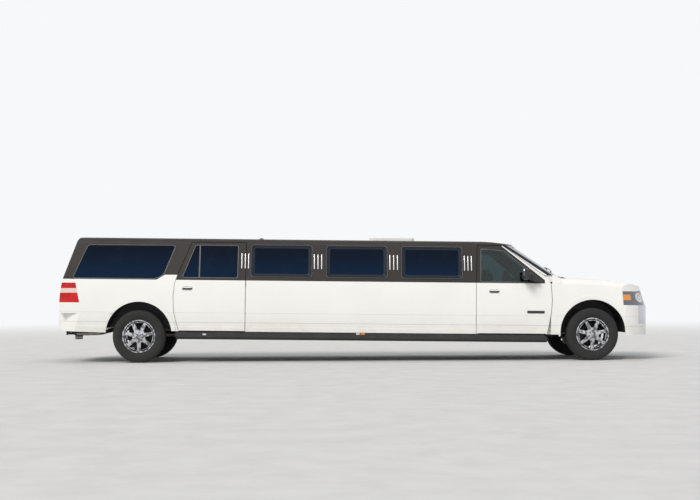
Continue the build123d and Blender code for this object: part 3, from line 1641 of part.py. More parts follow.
with BuildPart() as suspension_both:
    add(suspension(front_axle_x, True, 590.0))
    add(suspension(rear_axle_x, False, 660.0))
write(suspension_both.part, "suspension", body_piece=False)


# Mirrors on the front doors: a head on an arm, and a plate over the corner of the window
mirror_x = front_door_front_x - 410.0
mirror_z = 1349.0
mirror_length = 112.0
mirror_height = 180.0
mirror_low_y = 1035.0
mirror_high_y = 1205.0
mirror_plate = 8.0
plate_outline = (
    (front_door_front_x - 330.0, 1216.0),
    (front_door_front_x - 118.0, 1216.0),
    (front_door_front_x - 262.0, 1336.0),
    (front_door_front_x - 300.0, 1336.0),
)
arm_outline = (
    (mirror_x + 20.0, mirror_z - 74.0),
    (mirror_x + 150.0, 1232.0),
    (mirror_x + 215.0, 1232.0),
    (mirror_x + 185.0, 1292.0),
    (mirror_x + 20.0, mirror_z + 6.0),
)
plate_skin = cabin_block(-mirror_plate, -mirror_plate, 0, 0, 0)
with BuildPart() as mirror_base:
    add(side_prism(plate_outline, 12))
    add(plate_skin, mode=Mode.INTERSECT)
with BuildPart() as door_mirror:
    with BuildSketch(Plane.XZ.offset(mirror_low_y)):
        with Locations((mirror_x, mirror_z)):
            RectangleRounded(mirror_length, mirror_height, 34)
    extrude(amount=mirror_high_y - mirror_low_y, taper=5)
    fillet(faces().sort_by(Axis.Y)[0].edges(), 18)
    with BuildSketch(Plane.XZ.offset(body_half - 70)):
        Polygon(*arm_outline, align=None)
        fillet(vertices(), 12)
    extrude(amount=mirror_low_y + 24 - body_half + 70)
    add(mirror_base.part)
    add(cabin_block(-seat_gap, -seat_gap, 0, 0, 0), mode=Mode.SUBTRACT)
write_pair(door_mirror.part, "mirror")

# Seats and the cabin's fittings, plain
seat_floor = floor_z + seat_gap
seat_hip_x = front_door_rear_x + 560.0
seat_inner_y = 140.0
seat_width = 500.0
with BuildPart() as front_seats:
    with BuildSketch(Plane.XZ.offset(seat_inner_y)):
        Polygon(
            (seat_hip_x - 300, seat_floor),
            (seat_hip_x + 200, seat_floor),
            (seat_hip_x + 200, 760),
            (seat_hip_x + 240, 900),
            (seat_hip_x - 230, 870),
            (seat_hip_x - 400, 1540),
            (seat_hip_x - 520, 1540),
            (seat_hip_x - 380, 800),
            align=None,
        )
        fillet(vertices(), 30)
    extrude(amount=seat_width)
    fillet(edges().filter_by(GeomType.LINE).filter_by(Axis.Y, reverse=True), 25)
    mirror(about=Plane.XZ)
write(front_seats.part, "front_seats")

dash_half_width = 830.0
with BuildPart() as dashboard:
    with BuildSketch(Plane.XZ.offset(-dash_half_width)):
        Polygon(
            (front_door_front_x - 170, 900),
            (front_door_front_x - 190, 1130),
            (front_door_front_x - 120, 1215),
            (front_door_front_x + 20, 1248),
            (front_axle_x - 200, 1200),
            (front_axle_x - 200, 900),
            align=None,
        )
        fillet(vertices(), 24)
    extrude(amount=2 * dash_half_width)
    add(cabin_inner, mode=Mode.INTERSECT)
write(dashboard.part, "dashboard")

wheel_centre = (front_door_front_x - 330.0, 380.0, 1090.0)
column_tilt = 68.0
wheel_grip_radius = 188.0
wheel_grip_thickness = 15.0
horn_radius = 52.0
horn_height = 34.0
column_radius = 28.0
column_length = 180.0
with BuildPart() as steering_wheel:
    with Locations(Location(wheel_centre, (0, -column_tilt, 0))):
        Torus(wheel_grip_radius, wheel_grip_thickness)
        Cylinder(horn_radius, horn_height)
        for turn in (0, 90, 180):
            with Locations(Location((0, 0, 0), (0, 0, turn))):
                with Locations((0, 118, 0)):
                    Box(34, 150, 16)
        with Locations((0, 0, -100)):
            Cylinder(column_radius, column_length)
write(without(steering_wheel.part, dashboard.part), "steering_wheel")

partition_x = front_door_rear_x - 130.0
partition_thickness = 40.0
partition_window_z = 1400.0
partition_window_width = 1100.0
partition_window_height = 380.0
with BuildPart() as partition:
    add(zone(partition_x, partition_x + partition_thickness, seat_floor, roof_z, -1000, 1000))
    add(cabin_block(wall_low + seat_gap, wall_high + seat_gap, roof_wall + seat_gap, 50, 60),
        mode=Mode.INTERSECT)
    with Locations((partition_x + partition_thickness / 2, 0, partition_window_z)):
        Box(partition_thickness + 20, partition_window_width, partition_window_height,
            mode=Mode.SUBTRACT)
write(partition.part, "partition")

bench_floor = rear_floor_z + seat_gap
bench_x = rear_floor_x - 60.0
bench_half_width = 530.0
with BuildPart() as rear_bench:
    with BuildSketch(Plane.XZ.offset(-bench_half_width)):
        Polygon(
            (bench_x, bench_floor),
            (bench_x + 20, 960),
            (bench_x - 480, 940),
            (bench_x - 600, 1470),
            (bench_x - 740, 1470),
            (bench_x - 640, bench_floor),
            align=None,
        )
        fillet(vertices(), 30)
    extrude(amount=2 * bench_half_width)

lounge_start_x = rear_door_front_x + 160.0
lounge_end_x = partition_x - 60.0
lining_y = body_half - belt_tuck - wall_low
with BuildPart() as side_bench:
    with BuildSketch(Plane.YZ.offset(lounge_start_x)):
        Polygon(
            (390, seat_floor),
            (380, 950),
            (lining_y - 173, 925),
            (lining_y - 103, 1330),
            (lining_y - 11, 1330),
            (lining_y - 8, 900),
            (lining_y - 8, seat_floor),
            align=None,
        )
        fillet(vertices(), 28)
    extrude(amount=lounge_end_x - lounge_start_x)
with BuildPart() as lounge_seats:
    add(rear_bench.part)
    add(side_bench.part)
write(lounge_seats.part, "lounge_seats")

bar_start_x = lounge_start_x + 500.0
bar_end_x = lounge_end_x - 300.0
bar_top_z = 960.0
bar_inner_y = 580.0
bar_board = 30.0
bar_lip = 20.0
with BuildPart() as bar_cabinet:
    add(zone(bar_start_x, bar_end_x, seat_floor, bar_top_z, 11 - lining_y, -bar_inner_y))
    add(zone(bar_start_x - bar_lip, bar_end_x + bar_lip, bar_top_z, bar_top_z + bar_board,
             7 - lining_y, bar_lip - bar_inner_y))
write(bar_cabinet.part, "bar_cabinet")

# Hitch receiver under the rear bumper: a square tube on a cross tube, hung from the rails
receiver_bore = 50.8
receiver_wall = 6.4
receiver_z = 372.0
receiver_mouth_x = rear_end_x + 70.0
receiver_length = 300.0
hitch_pin_radius = 8.2
cross_x = receiver_mouth_x + receiver_length - 32.0
receiver_outer = receiver_bore + 2 * receiver_wall
with BuildPart() as hitch_receiver:
    with Locations((receiver_mouth_x + receiver_length / 2, 0, receiver_z)):
        Box(receiver_length, receiver_outer, receiver_outer)
    with Locations((receiver_mouth_x, 0, receiver_z)):
        Box(14, receiver_outer + 16, receiver_outer + 16, align=(Align.MIN, Align.CENTER, Align.CENTER))
    with Locations((cross_x, 0, receiver_z)):
        Box(60, 2 * (rail_y + rail_width / 2), 60)
    rail_bottom = rail_line[0][1] - rail_height / 2 - seat_gap
    for side in (-1, 1):
        with Locations((cross_x, side * rail_y, rail_bottom)):
            Box(120, 10, rail_bottom - receiver_z + 30, align=(Align.CENTER, Align.CENTER, Align.MAX))
            Box(120, 60, 8, align=(Align.CENTER, Align.CENTER, Align.MAX))
    with Locations((receiver_mouth_x, 0, receiver_z)):
        Box(2 * (receiver_length - 70), receiver_bore, receiver_bore, mode=Mode.SUBTRACT)
    with Locations(Location((receiver_mouth_x + 64, 0, receiver_z), (90, 0, 0))):
        Cylinder(hitch_pin_radius, 200, mode=Mode.SUBTRACT)
write(hitch_receiver.part, "hitch_receiver")
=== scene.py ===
"""Looks of the stretch limousine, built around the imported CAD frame.

Metres, X forward, Y to the left, Z up, ground at zero. The body stands nose down by a small
rake, so trim is laid out level and then turned by that rake, as the body was.
"""

import json
from math import cos, pi, radians, sin

import bmesh
import bpy
from mathutils import Matrix, Vector
from mathutils.bvhtree import BVHTree


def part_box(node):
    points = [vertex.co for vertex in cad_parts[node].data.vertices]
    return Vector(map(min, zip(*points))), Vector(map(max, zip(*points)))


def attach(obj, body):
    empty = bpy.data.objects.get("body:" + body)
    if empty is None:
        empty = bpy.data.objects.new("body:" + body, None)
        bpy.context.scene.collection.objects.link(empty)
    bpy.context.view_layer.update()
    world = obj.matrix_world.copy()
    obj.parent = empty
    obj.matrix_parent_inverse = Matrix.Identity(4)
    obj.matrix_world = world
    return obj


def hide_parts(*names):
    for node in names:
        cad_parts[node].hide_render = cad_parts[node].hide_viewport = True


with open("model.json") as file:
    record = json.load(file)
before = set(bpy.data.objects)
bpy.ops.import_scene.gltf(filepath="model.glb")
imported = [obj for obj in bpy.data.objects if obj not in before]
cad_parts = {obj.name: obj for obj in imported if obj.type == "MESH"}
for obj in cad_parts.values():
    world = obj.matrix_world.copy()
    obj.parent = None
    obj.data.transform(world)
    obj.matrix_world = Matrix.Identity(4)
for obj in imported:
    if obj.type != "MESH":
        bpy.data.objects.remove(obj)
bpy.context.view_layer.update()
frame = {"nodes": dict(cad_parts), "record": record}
nodes = frame["nodes"]

# Places that the frame gives
rim_low, rim_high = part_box("right_front_rim")
front_axle_x = (rim_low.x + rim_high.x) / 2
rim_low, rim_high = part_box("right_rear_rim")
rear_axle_x = (rim_low.x + rim_high.x) / 2
wheel_z = (rim_low.z + rim_high.z) / 2
wheel_y = -(rim_low.y + rim_high.y) / 2
tyre_low, tyre_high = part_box("right_rear_tyre")
tyre_radius = (tyre_high.z - tyre_low.z) / 2
tyre_half = (tyre_high.y - tyre_low.y) / 2

# The rake: what is laid out level is turned about the middle of the wheelbase
body_rake = radians(0.8)
rake_centre = Vector(((front_axle_x + rear_axle_x) / 2, 0, 0.706))
rake_turn = (
    Matrix.Translation(rake_centre)
    @ Matrix.Rotation(body_rake, 4, "Y")
    @ Matrix.Translation(-rake_centre)
)

# Lines that trim runs along: the raked sides, and across the vehicle
side_line = Vector((1, 0, -sin(body_rake)))
cross_line = Vector((0, 1, 0))

# Heights and half widths of the level body, where the panes lean in above the belt
belt_z = 1.209
rail_z = 1.762
belt_half = 0.968
rail_half = 0.842
sides = {"right": -1, "left": 1}


# Camera
camera_place = Vector((-0.563, -20.65, 0.98))
camera_yaw = 1.45
camera_pitch = 2.07
camera_roll = 0.25
camera_data = bpy.data.cameras.new("camera")
camera_data.sensor_width = 36.0
camera_data.lens = 66.74
camera = bpy.data.objects.new("camera", camera_data)
camera.location = camera_place
camera.rotation_euler = (
    Matrix.Rotation(radians(-camera_yaw), 4, "Z")
    @ Matrix.Rotation(radians(90 + camera_pitch), 4, "X")
    @ Matrix.Rotation(radians(-camera_roll), 4, "Z")
).to_euler()
bpy.context.scene.collection.objects.link(camera)
bpy.context.scene.camera = camera


# Materials
def feed(tree, socket, value):
    """Sets a socket to a value, or joins an output to it."""
    if isinstance(value, bpy.types.NodeSocket):
        tree.links.new(value, socket)
    else:
        socket.default_value = value


def add_node(tree, kind, inputs=None, **settings):
    """Adds a node, with its settings and inputs, which are values or outputs."""
    made = tree.nodes.new(kind)
    for setting, value in settings.items():
        setattr(made, setting, value)
    for socket, value in (inputs or {}).items():
        feed(tree, made.inputs[socket], value)
    return made


class Look:
    """One node material, with short ways to add and join its nodes."""

    def __init__(self, name, colour, roughness, metallic=0.0, **sockets):
        self.made = bpy.data.materials.new(name)
        self.made.use_nodes = True
        self.tree = self.made.node_tree
        self.shader = self.tree.nodes["Principled BSDF"]
        self.put("Base Color", (*colour, 1.0))
        self.put("Roughness", roughness)
        self.put("Metallic", metallic)
        for socket, value in sockets.items():
            self.put(socket.replace("_", " "), value)
        self.place = self.node("ShaderNodeTexCoord").outputs["Object"]

    def put(self, socket, value):
        """Sets one of the shader's sockets, or joins an output to it."""
        feed(self.tree, self.shader.inputs[socket], value)

    def finish(self, colour, normal, roughness=None):
        """Joins the colour, the relief and any map of the roughness, and gives the material."""
        self.put("Base Color", colour)
        self.put("Normal", normal)
        if roughness is not None:
            self.put("Roughness", roughness)
        return self.made

    def node(self, kind, inputs=None, **settings):
        """Adds a node to the material."""
        return add_node(self.tree, kind, inputs, **settings)

    def stretched(self, stretch):
        """The object's own coordinates, which may be stretched."""
        if stretch is None:
            return self.place
        return self.node("ShaderNodeMapping", {"Vector": self.place, "Scale": stretch}).outputs[0]

    def noise(self, scale, detail=3.0, roughness=0.55, stretch=None):
        """A noise from 0 to 1."""
        inputs = {"Scale": scale, "Detail": detail, "Roughness": roughness}
        inputs["Vector"] = self.stretched(stretch)
        return self.node("ShaderNodeTexNoise", inputs).outputs["Fac"]

    def cells(self, scale):
        """The distance to the nearest cell's middle, for grain."""
        inputs = {"Vector": self.place, "Scale": scale}
        return self.node("ShaderNodeTexVoronoi", inputs).outputs["Distance"]

    def waves(self, scale, direction):
        """Even waves along one axis."""
        inputs = {"Vector": self.place, "Scale": scale, "Distortion": 0.0}
        return self.node("ShaderNodeTexWave", inputs, bands_direction=direction).outputs["Fac"]

    def away(self, stretch=None):
        """The distance from the object's origin."""
        inputs = {0: self.stretched(stretch)}
        return self.node("ShaderNodeVectorMath", inputs, operation="LENGTH").outputs["Value"]

    def spread(self, value, low, high, to_low=0.0, to_high=1.0, smooth=True):
        """Carries a value from one range to another, held at both ends."""
        inputs = {"Value": value, "From Min": low, "From Max": high}
        inputs.update({"To Min": to_low, "To Max": to_high})
        kind = "SMOOTHSTEP" if smooth else "LINEAR"
        return self.node("ShaderNodeMapRange", inputs, interpolation_type=kind).outputs["Result"]

    def step(self, value, place, half=0.001):
        """Rises from zero to one as a value passes a place, or falls if the half is negative."""
        return self.spread(value, place - half, place + half)

    def between(self, share, first, second):
        """A value between two, by a share."""
        return self.spread(share, 0.0, 1.0, first, second)

    def maths(self, operation, first, second=0.0):
        """The outcome of an operation on one or two values."""
        return self.node("ShaderNodeMath", {0: first, 1: second}, operation=operation).outputs[0]

    def times(self, first, second):
        """One value times another."""
        return self.maths("MULTIPLY", first, second)

    def axis(self, name):
        """One of the object's coordinates."""
        return self.node("ShaderNodeSeparateXYZ", {0: self.place}).outputs[name]

    def blend(self, share, first, second):
        """A colour between two, which are colours or outputs."""
        first, second = (
            tone if isinstance(tone, bpy.types.NodeSocket) else (*tone, 1.0)
            for tone in (first, second)
        )
        inputs = {0: share, 6: first, 7: second}
        return self.node("ShaderNodeMix", inputs, data_type="RGBA").outputs[2]

    def relief(self, height, depth, strength=1.0, over=None):
        """A bump of a depth in metres, laid over another if one is given."""
        inputs = {"Height": height, "Distance": depth, "Strength": strength}
        if over is not None:
            inputs["Normal"] = over
        return self.node("ShaderNodeBump", inputs).outputs[0]

    def level_height(self):
        """The height in the level body."""
        forward = self.maths("SUBTRACT", self.axis("X"), rake_centre.x)
        return self.maths("ADD", self.axis("Z"), self.times(forward, sin(body_rake)))


# Tones that more than one look needs, and half the width of a painted edge
roof_tone = (0.030, 0.026, 0.024)
glass_edge_tone = (0.010, 0.016, 0.026)
paint_edge = 0.0005

# Slanted edges at the front pillar in side view: X at one height, and how X falls with height
slant_z = 1.495
dark_paint_x = 2.613
dark_paint_slope = 1.24
dark_paint_front_x = 2.905
glass_edge_x = 2.706
glass_edge_slope = 1.485
glass_edge_low_z = 1.336
glass_edge_high_z = 1.791

# Heights between which the road dust thickens downward, and a pane's tint changes upward
dust_high_z = 0.75
dust_low_z = 0.42
tint_low_z = 1.25
tint_high_z = 1.72

# Lines pressed in the sides: height, and how far the side steps out above it
press_lines = ((0.715, 0.0022), (0.570, 0.004), (0.504, -0.004))
press_half = 0.004


def above_belt(look):
    """One above the belt of the level body, zero below it."""
    return look.step(look.level_height(), belt_z, paint_edge)


def slanted_edge(look, x, slope):
    """How far forward a slanted edge lies at each height."""
    return look.maths("SUBTRACT", x + slope * slant_z, look.times(look.level_height(), slope))


def behind_pillar(look):
    """One above the belt and behind the slanted line at which the white front pillar starts."""
    slant = slanted_edge(look, dark_paint_x, dark_paint_slope)
    front = look.maths("MINIMUM", slant, dark_paint_front_x)
    gap = look.maths("SUBTRACT", front, look.axis("X"))
    return look.times(above_belt(look), look.step(gap, 0.0, paint_edge))


def before_glass(look):
    """One along the edge of the windshield, in front of a slanted line, and zero elsewhere."""
    height = look.level_height()
    slant = slanted_edge(look, glass_edge_x, glass_edge_slope)
    gap = look.maths("SUBTRACT", look.axis("X"), slant)
    share = look.times(look.step(gap, 0.0), look.step(height, glass_edge_low_z))
    return look.times(share, look.step(height, glass_edge_high_z, -0.001))


def white_paint(name, share_of=None, tone=roof_tone, dull=1.8, coat=0.0):
    """Gloss white with pressed lines and road dust low down, and a tone where share_of is one."""
    look = Look(name, (0.85, 0.835, 0.80), 0.3, Coat_Weight=0.6, Coat_Roughness=0.06)
    height = look.level_height()
    low = look.spread(height, dust_high_z, dust_low_z)
    dust = look.times(low, look.spread(look.noise(3.0, 6.0, 0.7), 0.35, 0.75, 0.05, 0.32))
    patch = look.spread(look.noise(1.3), 0.3, 0.7)
    paint = look.blend(patch, (0.86, 0.845, 0.81), (0.83, 0.815, 0.78))
    paint = look.blend(dust, paint, (0.50, 0.46, 0.40))
    shine = look.spread(dust, 0.0, 0.5, 0.26, 0.55)
    if share_of:
        share = share_of(look)
        paint = look.blend(share, paint, tone)
        shine = look.times(shine, look.between(share, 1.0, dull))
        look.put("Coat Weight", look.between(share, 0.6, coat))
        look.put("Specular IOR Level", look.between(share, 0.5, 0.25))
    press = None
    for line, rise in press_lines:
        press = look.relief(look.step(height, line, press_half), rise, over=press)
    return look.finish(paint, look.relief(look.noise(420.0, 1.0), 0.0003, 0.15, press), shine)


def roof_cover():
    """Dark satin grained covering of the roof and the pillars."""
    look = Look("roof_vinyl", roof_tone, 0.5, Specular_IOR_Level=0.25)
    patch = look.spread(look.noise(2.2, 4.0), 0.3, 0.7)
    fleck = look.spread(look.noise(160.0, 2.0), 0.35, 0.65)
    tone = look.blend(patch, (0.032, 0.028, 0.026), (0.027, 0.0235, 0.022))
    tone = look.blend(look.times(fleck, 0.3), tone, (0.045, 0.038, 0.034))
    grain = look.relief(look.cells(520.0), 0.0006, 0.5)
    relief = look.relief(look.noise(900.0, 2.0), 0.0003, 0.4, grain)
    return look.finish(tone, relief, look.between(patch, 0.50, 0.56))


def tinted_glass(name, dark, light, through, shine, low=None):
    """Glass with a tint, which may be another low down, faint dust and a slight waviness."""
    look = Look(name, dark, 0.03, IOR=1.5, Specular_IOR_Level=shine, Transmission_Weight=through)
    dust = look.spread(look.noise(5.0, 5.0, 0.65), 0.45, 0.9, 0.0, 0.12)
    tone = dark
    if low:
        tone = look.blend(look.spread(look.level_height(), tint_low_z, tint_high_z), low, dark)
    wave = look.relief(look.noise(2.5, 1.0), 0.0008, 0.12)
    shine_map = look.spread(dust, 0.0, 0.12, 0.03, 0.09)
    return look.finish(look.blend(dust, tone, light), wave, shine_map)


def polished_metal(name, bright, dull, roughness, wave=0.0006, deep=None, painted_shading=None):
    """Chrome with a film of dirt, patches of painted reflection in a darker tone,
    and brake dust with painted shade on what lies deep in a wheel.
    """
    look = Look(name, bright, roughness, 1.0)
    dirt_and_painted_shade = look.spread(look.noise(5.0, 5.0, 0.6), 0.45, 0.85, 0.0, 0.3)
    # Deep in a wheel the chrome darkens to near black: brake dust and painted shade in its recesses
    if deep:
        across = look.maths("ABSOLUTE", look.axis("Y"))
        dirt_and_painted_shade = look.maths("MAXIMUM", dirt_and_painted_shade, look.spread(across, deep[1], deep[0]))
    tone = bright
    # Painted reflections: patches of a darker tone mottle the chrome
    if painted_shading:
        tone = look.blend(look.spread(look.noise(24.0, 1.0), 0.44, 0.56), bright, painted_shading)
    ripple = look.relief(look.noise(9.0, 2.0), wave, 0.06)
    return look.finish(
        look.blend(dirt_and_painted_shade, tone, dull), ripple, look.between(dirt_and_painted_shade, roughness, roughness + 0.35)
    )


def moulded_plastic(name, tone, worn, roughness, scale=700.0, shine=0.5):
    """Grained plastic that is worn paler in patches."""
    look = Look(name, tone, roughness, Specular_IOR_Level=shine)
    wear = look.spread(look.noise(6.0, 6.0, 0.7), 0.45, 0.8, 0.0, 0.6)
    grain = look.relief(look.cells(scale), 0.0005, 0.45)
    roughness_map = look.spread(wear, 0.0, 0.6, roughness, roughness + 0.15)
    return look.finish(look.blend(wear, tone, worn), grain, roughness_map)


def rough_metal(name, tone, second, roughness, metallic):
    """Painted or cast metal with rust and dirt in patches."""
    look = Look(name, tone, roughness, metallic)
    patch = look.spread(look.noise(7.0, 8.0, 0.7), 0.42, 0.72)
    grain = look.relief(look.noise(180.0, 6.0), 0.0012, 0.5)
    return look.finish(
        look.blend(patch, tone, second), grain,
        look.between(patch, roughness, min(roughness + 0.25, 0.95)),
    )


# Clear band across the tail lamps: the shares of their height at its edges, and how soft they are
band_shares = (0.49, 0.72)
band_half = 0.004


def tail_lens():
    """Red lens with a clear band across it and moulded ribs."""
    look = Look("lamp_red", (0.50, 0.006, 0.008), 0.2, Coat_Weight=0.25, Coat_Roughness=0.05)
    look.put("Specular IOR Level", 0.25)
    height = look.axis("Z")
    low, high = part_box("tail_lights")
    band_low, band_high = (low.z + (high.z - low.z) * share for share in band_shares)
    band = look.times(
        look.step(height, band_low, band_half), look.step(height, band_high, -band_half)
    )
    glow = look.spread(look.noise(7.0, 1.0), 0.3, 0.7)
    red = look.blend(glow, (0.42, 0.004, 0.006), (0.60, 0.010, 0.008))
    ribs = look.relief(look.waves(26.0, "Z"), 0.002, 0.35)
    return look.finish(look.blend(band, red, (0.78, 0.60, 0.56)), ribs)


# Headlight: its bowls and bulbs seen from the front, and the amber block in its outer side
bowl_ys = (0.600, 0.775)
bowl_radius = 0.072
bulb_radius = 0.015
amber_xs = (4.096, 4.232)
amber_zs = (0.913, 0.997)
amber_inner_y = 0.91


def head_lens():
    """Headlight with two bright round bowls at the front, painted with shade that darkens
    towards the bulb, and an amber block in a dark side.
    """
    look = Look("lamp_clear", (0.10, 0.11, 0.13), 0.1, 0.3, Coat_Weight=1.0, Coat_Roughness=0.02)
    low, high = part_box("headlights")
    forward = look.axis("X")
    across = look.maths("ABSOLUTE", look.axis("Y"))
    height = look.axis("Z")
    rise = look.maths("SUBTRACT", height, (low.z + high.z) / 2)
    ripple = look.spread(look.noise(60.0, 2.0), 0.3, 0.7)
    tone = look.blend(ripple, (0.085, 0.095, 0.115), (0.13, 0.14, 0.165))
    depth = None
    for bowl_y in bowl_ys:
        aside = look.maths("SUBTRACT", across, bowl_y)
        square = look.maths("ADD", look.times(aside, aside), look.times(rise, rise))
        away = look.maths("SQRT", square)
        bowl = look.spread(away, bowl_radius, bowl_radius - 0.003)
        # Painted shade: each bowl is painted grey, darker towards the bulb in its middle
        deep = look.spread(away, bulb_radius, bowl_radius - 0.006, 0.30, 0.75, smooth=False)
        painted_shading = look.node("ShaderNodeCombineColor", {"Red": deep, "Green": deep, "Blue": deep})
        tone = look.blend(bowl, tone, painted_shading.outputs[0])
        bulb = look.spread(away, bulb_radius + 0.003, bulb_radius)
        tone = look.blend(bulb, tone, (0.85, 0.85, 0.82))
        depth = look.relief(look.spread(away, 0.0, bowl_radius), 0.02, over=depth)
    amber = look.step(across, amber_inner_y, 0.01)
    for value, (start, end) in ((forward, amber_xs), (height, amber_zs)):
        amber = look.times(amber, look.step(value, start))
        amber = look.times(amber, look.step(value, end, -0.001))
    look.put("Metallic", look.between(amber, 0.3, 0.0))
    ribs = look.relief(look.waves(22.0, "X"), 0.0015, 0.2, depth)
    return look.finish(look.blend(amber, tone, (0.82, 0.27, 0.01)), ribs)


# Rings in the tyre's sidewall: radians of their wave in a metre, and the radii where they fade
ring_rate = 1150.0
ring_fade_radii = (0.385, 0.375)


def tyre_rubber():
    """Rubber with rings moulded in the sidewall and dust in the tread."""
    look = Look("tyre", (0.022, 0.021, 0.020), 0.8)
    radius = look.away(stretch=(1, 0, 1))
    rings = look.maths("SINE", look.times(radius, ring_rate))
    dust = look.spread(look.noise(5.0, 8.0, 0.7), 0.4, 0.8, 0.0, 0.3)
    side = look.spread(radius, *ring_fade_radii)
    rise = look.relief(look.times(rings, side), 0.0012, 0.6)
    grain = look.relief(look.noise(260.0, 3.0), 0.0006, 0.4, rise)
    return look.finish(look.blend(dust, (0.014, 0.014, 0.014), (0.060, 0.054, 0.047)), grain)


def leather():
    """Grained leather, paler where it is worn."""
    tone, second = (0.045, 0.044, 0.046), (0.085, 0.082, 0.082)
    look = Look("seat_leather", tone, 0.45, Specular_IOR_Level=0.4, Sheen_Weight=0.08)
    worn = look.spread(look.noise(7.0, 5.0, 0.6), 0.4, 0.75)
    creases = look.relief(look.noise(30.0, 4.0, 0.6), 0.003, 0.35)
    grain = look.relief(look.cells(260.0), 0.0008, 0.6, creases)
    return look.finish(look.blend(worn, tone, second), grain, look.between(worn, 0.38, 0.6))


def dark_wood():
    """Veneer with its grain along the vehicle."""
    look = Look("wood_dark", (0.12, 0.05, 0.025), 0.3, Coat_Weight=0.5, Coat_Roughness=0.12)
    grain = look.noise(14.0, 8.0, 0.65, (0.25, 4.0, 6.0))
    share = look.spread(grain, 0.35, 0.65)
    tone = look.blend(share, (0.055, 0.022, 0.012), (0.20, 0.085, 0.04))
    return look.finish(tone, look.relief(grain, 0.0008, 0.4))


looks = {
    "roof_vinyl": roof_cover(),
    "lamp_clear": head_lens(),
    "lamp_red": tail_lens(),
    "tyre": tyre_rubber(),
    "seat_leather": leather(),
    "wood_dark": dark_wood(),
}

# The other looks: each row holds a name and what else its function asks for, in that order
look_rows = {
    white_paint: (
        ("body_paint",),
        ("door_paint", above_belt),
        ("front_door_paint", behind_pillar),
        ("pillar_paint", before_glass, glass_edge_tone, 0.6, 0.2),
    ),
    tinted_glass: (
        ("window_glass", (0.0008, 0.005, 0.016), (0.040, 0.045, 0.058), 0.1, 0.06,
         (0.001, 0.013, 0.040)),
        ("front_glass", (0.10, 0.185, 0.195), (0.26, 0.30, 0.30), 0.97, 0.16),
    ),
    polished_metal: (
        ("chrome", (0.55, 0.57, 0.60), (0.45, 0.46, 0.47), 0.07),
        ("bar_chrome", (0.86, 0.86, 0.87), (0.78, 0.78, 0.79), 0.32, 0.0001),
        # The wheel's near-black dull tone is brake dust with painted shade deep in the wheel; its
        # last tone is for painted reflections
        ("wheel_chrome", (0.64, 0.65, 0.68), (0.030, 0.029, 0.028), 0.12, 0.0006,
         (0.902, 0.932), (0.20, 0.205, 0.22)),
        ("mirror_glass", (0.75, 0.77, 0.80), (0.5, 0.5, 0.5), 0.03),
    ),
    moulded_plastic: (
        ("black_plastic", (0.022, 0.022, 0.023), (0.055, 0.052, 0.048), 0.5),
        ("trim_dark", (0.060, 0.060, 0.062), (0.10, 0.098, 0.095), 0.6, 500.0),
        ("surround_trim", (0.008, 0.014, 0.024), (0.016, 0.022, 0.032), 0.5, 900.0, 0.22),
        ("edge_grey", (0.10, 0.098, 0.095), (0.16, 0.155, 0.15), 0.4, 900.0),
        ("amber_lens", (0.70, 0.22, 0.02), (0.80, 0.42, 0.15), 0.15, 160.0),
        ("lamp_bulb", (0.62, 0.63, 0.64), (0.75, 0.75, 0.74), 0.12, 140.0),
    ),
    rough_metal: (
        ("frame_black", (0.018, 0.018, 0.018), (0.075, 0.062, 0.050), 0.6, 0.2),
        ("cast_iron", (0.10, 0.10, 0.10), (0.17, 0.11, 0.075), 0.6, 0.6),
        ("steel", (0.32, 0.31, 0.30), (0.20, 0.13, 0.085), 0.38, 0.9),
    ),
}
for make, rows in look_rows.items():
    for row in rows:
        looks[row[0]] = make(*row)

# CAD nodes whose look isn't the one that their slot names
node_looks = {"liftgate": "door_paint", "windshield_frame": "pillar_paint"}
for side_name in sides:
    node_looks[f"{side_name}_front_door"] = "front_door_paint"
    node_looks[f"{side_name}_rear_door"] = "door_paint"
    for end in ("front", "rear"):
        node_looks[f"{side_name}_{end}_rim"] = "wheel_chrome"
slots = {entry["node"]: entry["material_slot"] for entry in frame["record"]["subparts"]}


def dress(thing, look_name):
    """Gives an object one material."""
    if thing.material_slots:
        for slot in thing.material_slots:
            slot.material = looks[look_name]
    else:
        thing.data.materials.append(looks[look_name])


for node_name, thing in nodes.items():
    dress(thing, node_looks.get(node_name, slots.get(node_name, "trim_dark")))


# Ways to make pieces
def new_object(name, mesh):
    """Links a bmesh as an object."""
    data = bpy.data.meshes.new(name)
    mesh.to_mesh(data)
    mesh.free()
    made = bpy.data.objects.new(name, data)
    bpy.context.scene.collection.objects.link(made)
    return made


def piece_of(name, mesh, look_name, body, smooth=35.0, bevel=0.0, level=False):
    """Links a bmesh as a piece on a body, with a material, rounded edges and smooth shading."""
    bmesh.ops.recalc_face_normals(mesh, faces=mesh.faces)
    made = new_object(name, mesh)
    if level:
        made.data.transform(rake_turn)
    if bevel:
        rounding = made.modifiers.new("rounding", "BEVEL")
        rounding.width = bevel
        rounding.segments = 3
        rounding.limit_method = "ANGLE"
    made.data.shade_smooth()
    made.data.set_sharp_from_angle(angle=radians(smooth))
    made.data.materials.append(looks[look_name])
    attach(made, body)
    return made


def add_block(mesh, turn, size):
    """Adds a block, placed and turned by a matrix, to a mesh."""
    bmesh.ops.create_cube(mesh, size=1.0, matrix=turn @ Matrix.Diagonal((*size, 1.0)))


def placed(origin, outward, along):
    """A matrix at a point, whose Z points outward and whose X runs along a line."""
    x = along.normalized()
    y = outward.cross(x).normalized()
    turn = Matrix((x, y, x.cross(y))).transposed().to_4x4()
    turn.translation = origin
    return turn


def add_circle(mesh, centre, across, other, radius, steps):
    """Adds the points of a circle in the plane of two directions."""
    angles = [2 * pi * step / steps for step in range(steps)]
    return [mesh.verts.new(centre + (across * cos(a) + other * sin(a)) * radius) for a in angles]


def join_rings(mesh, first, second):
    """Adds the faces between two closed rings of points."""
    for j in range(len(first)):
        k = (j + 1) % len(first)
        mesh.faces.new((first[j], first[k], second[k], second[j]))


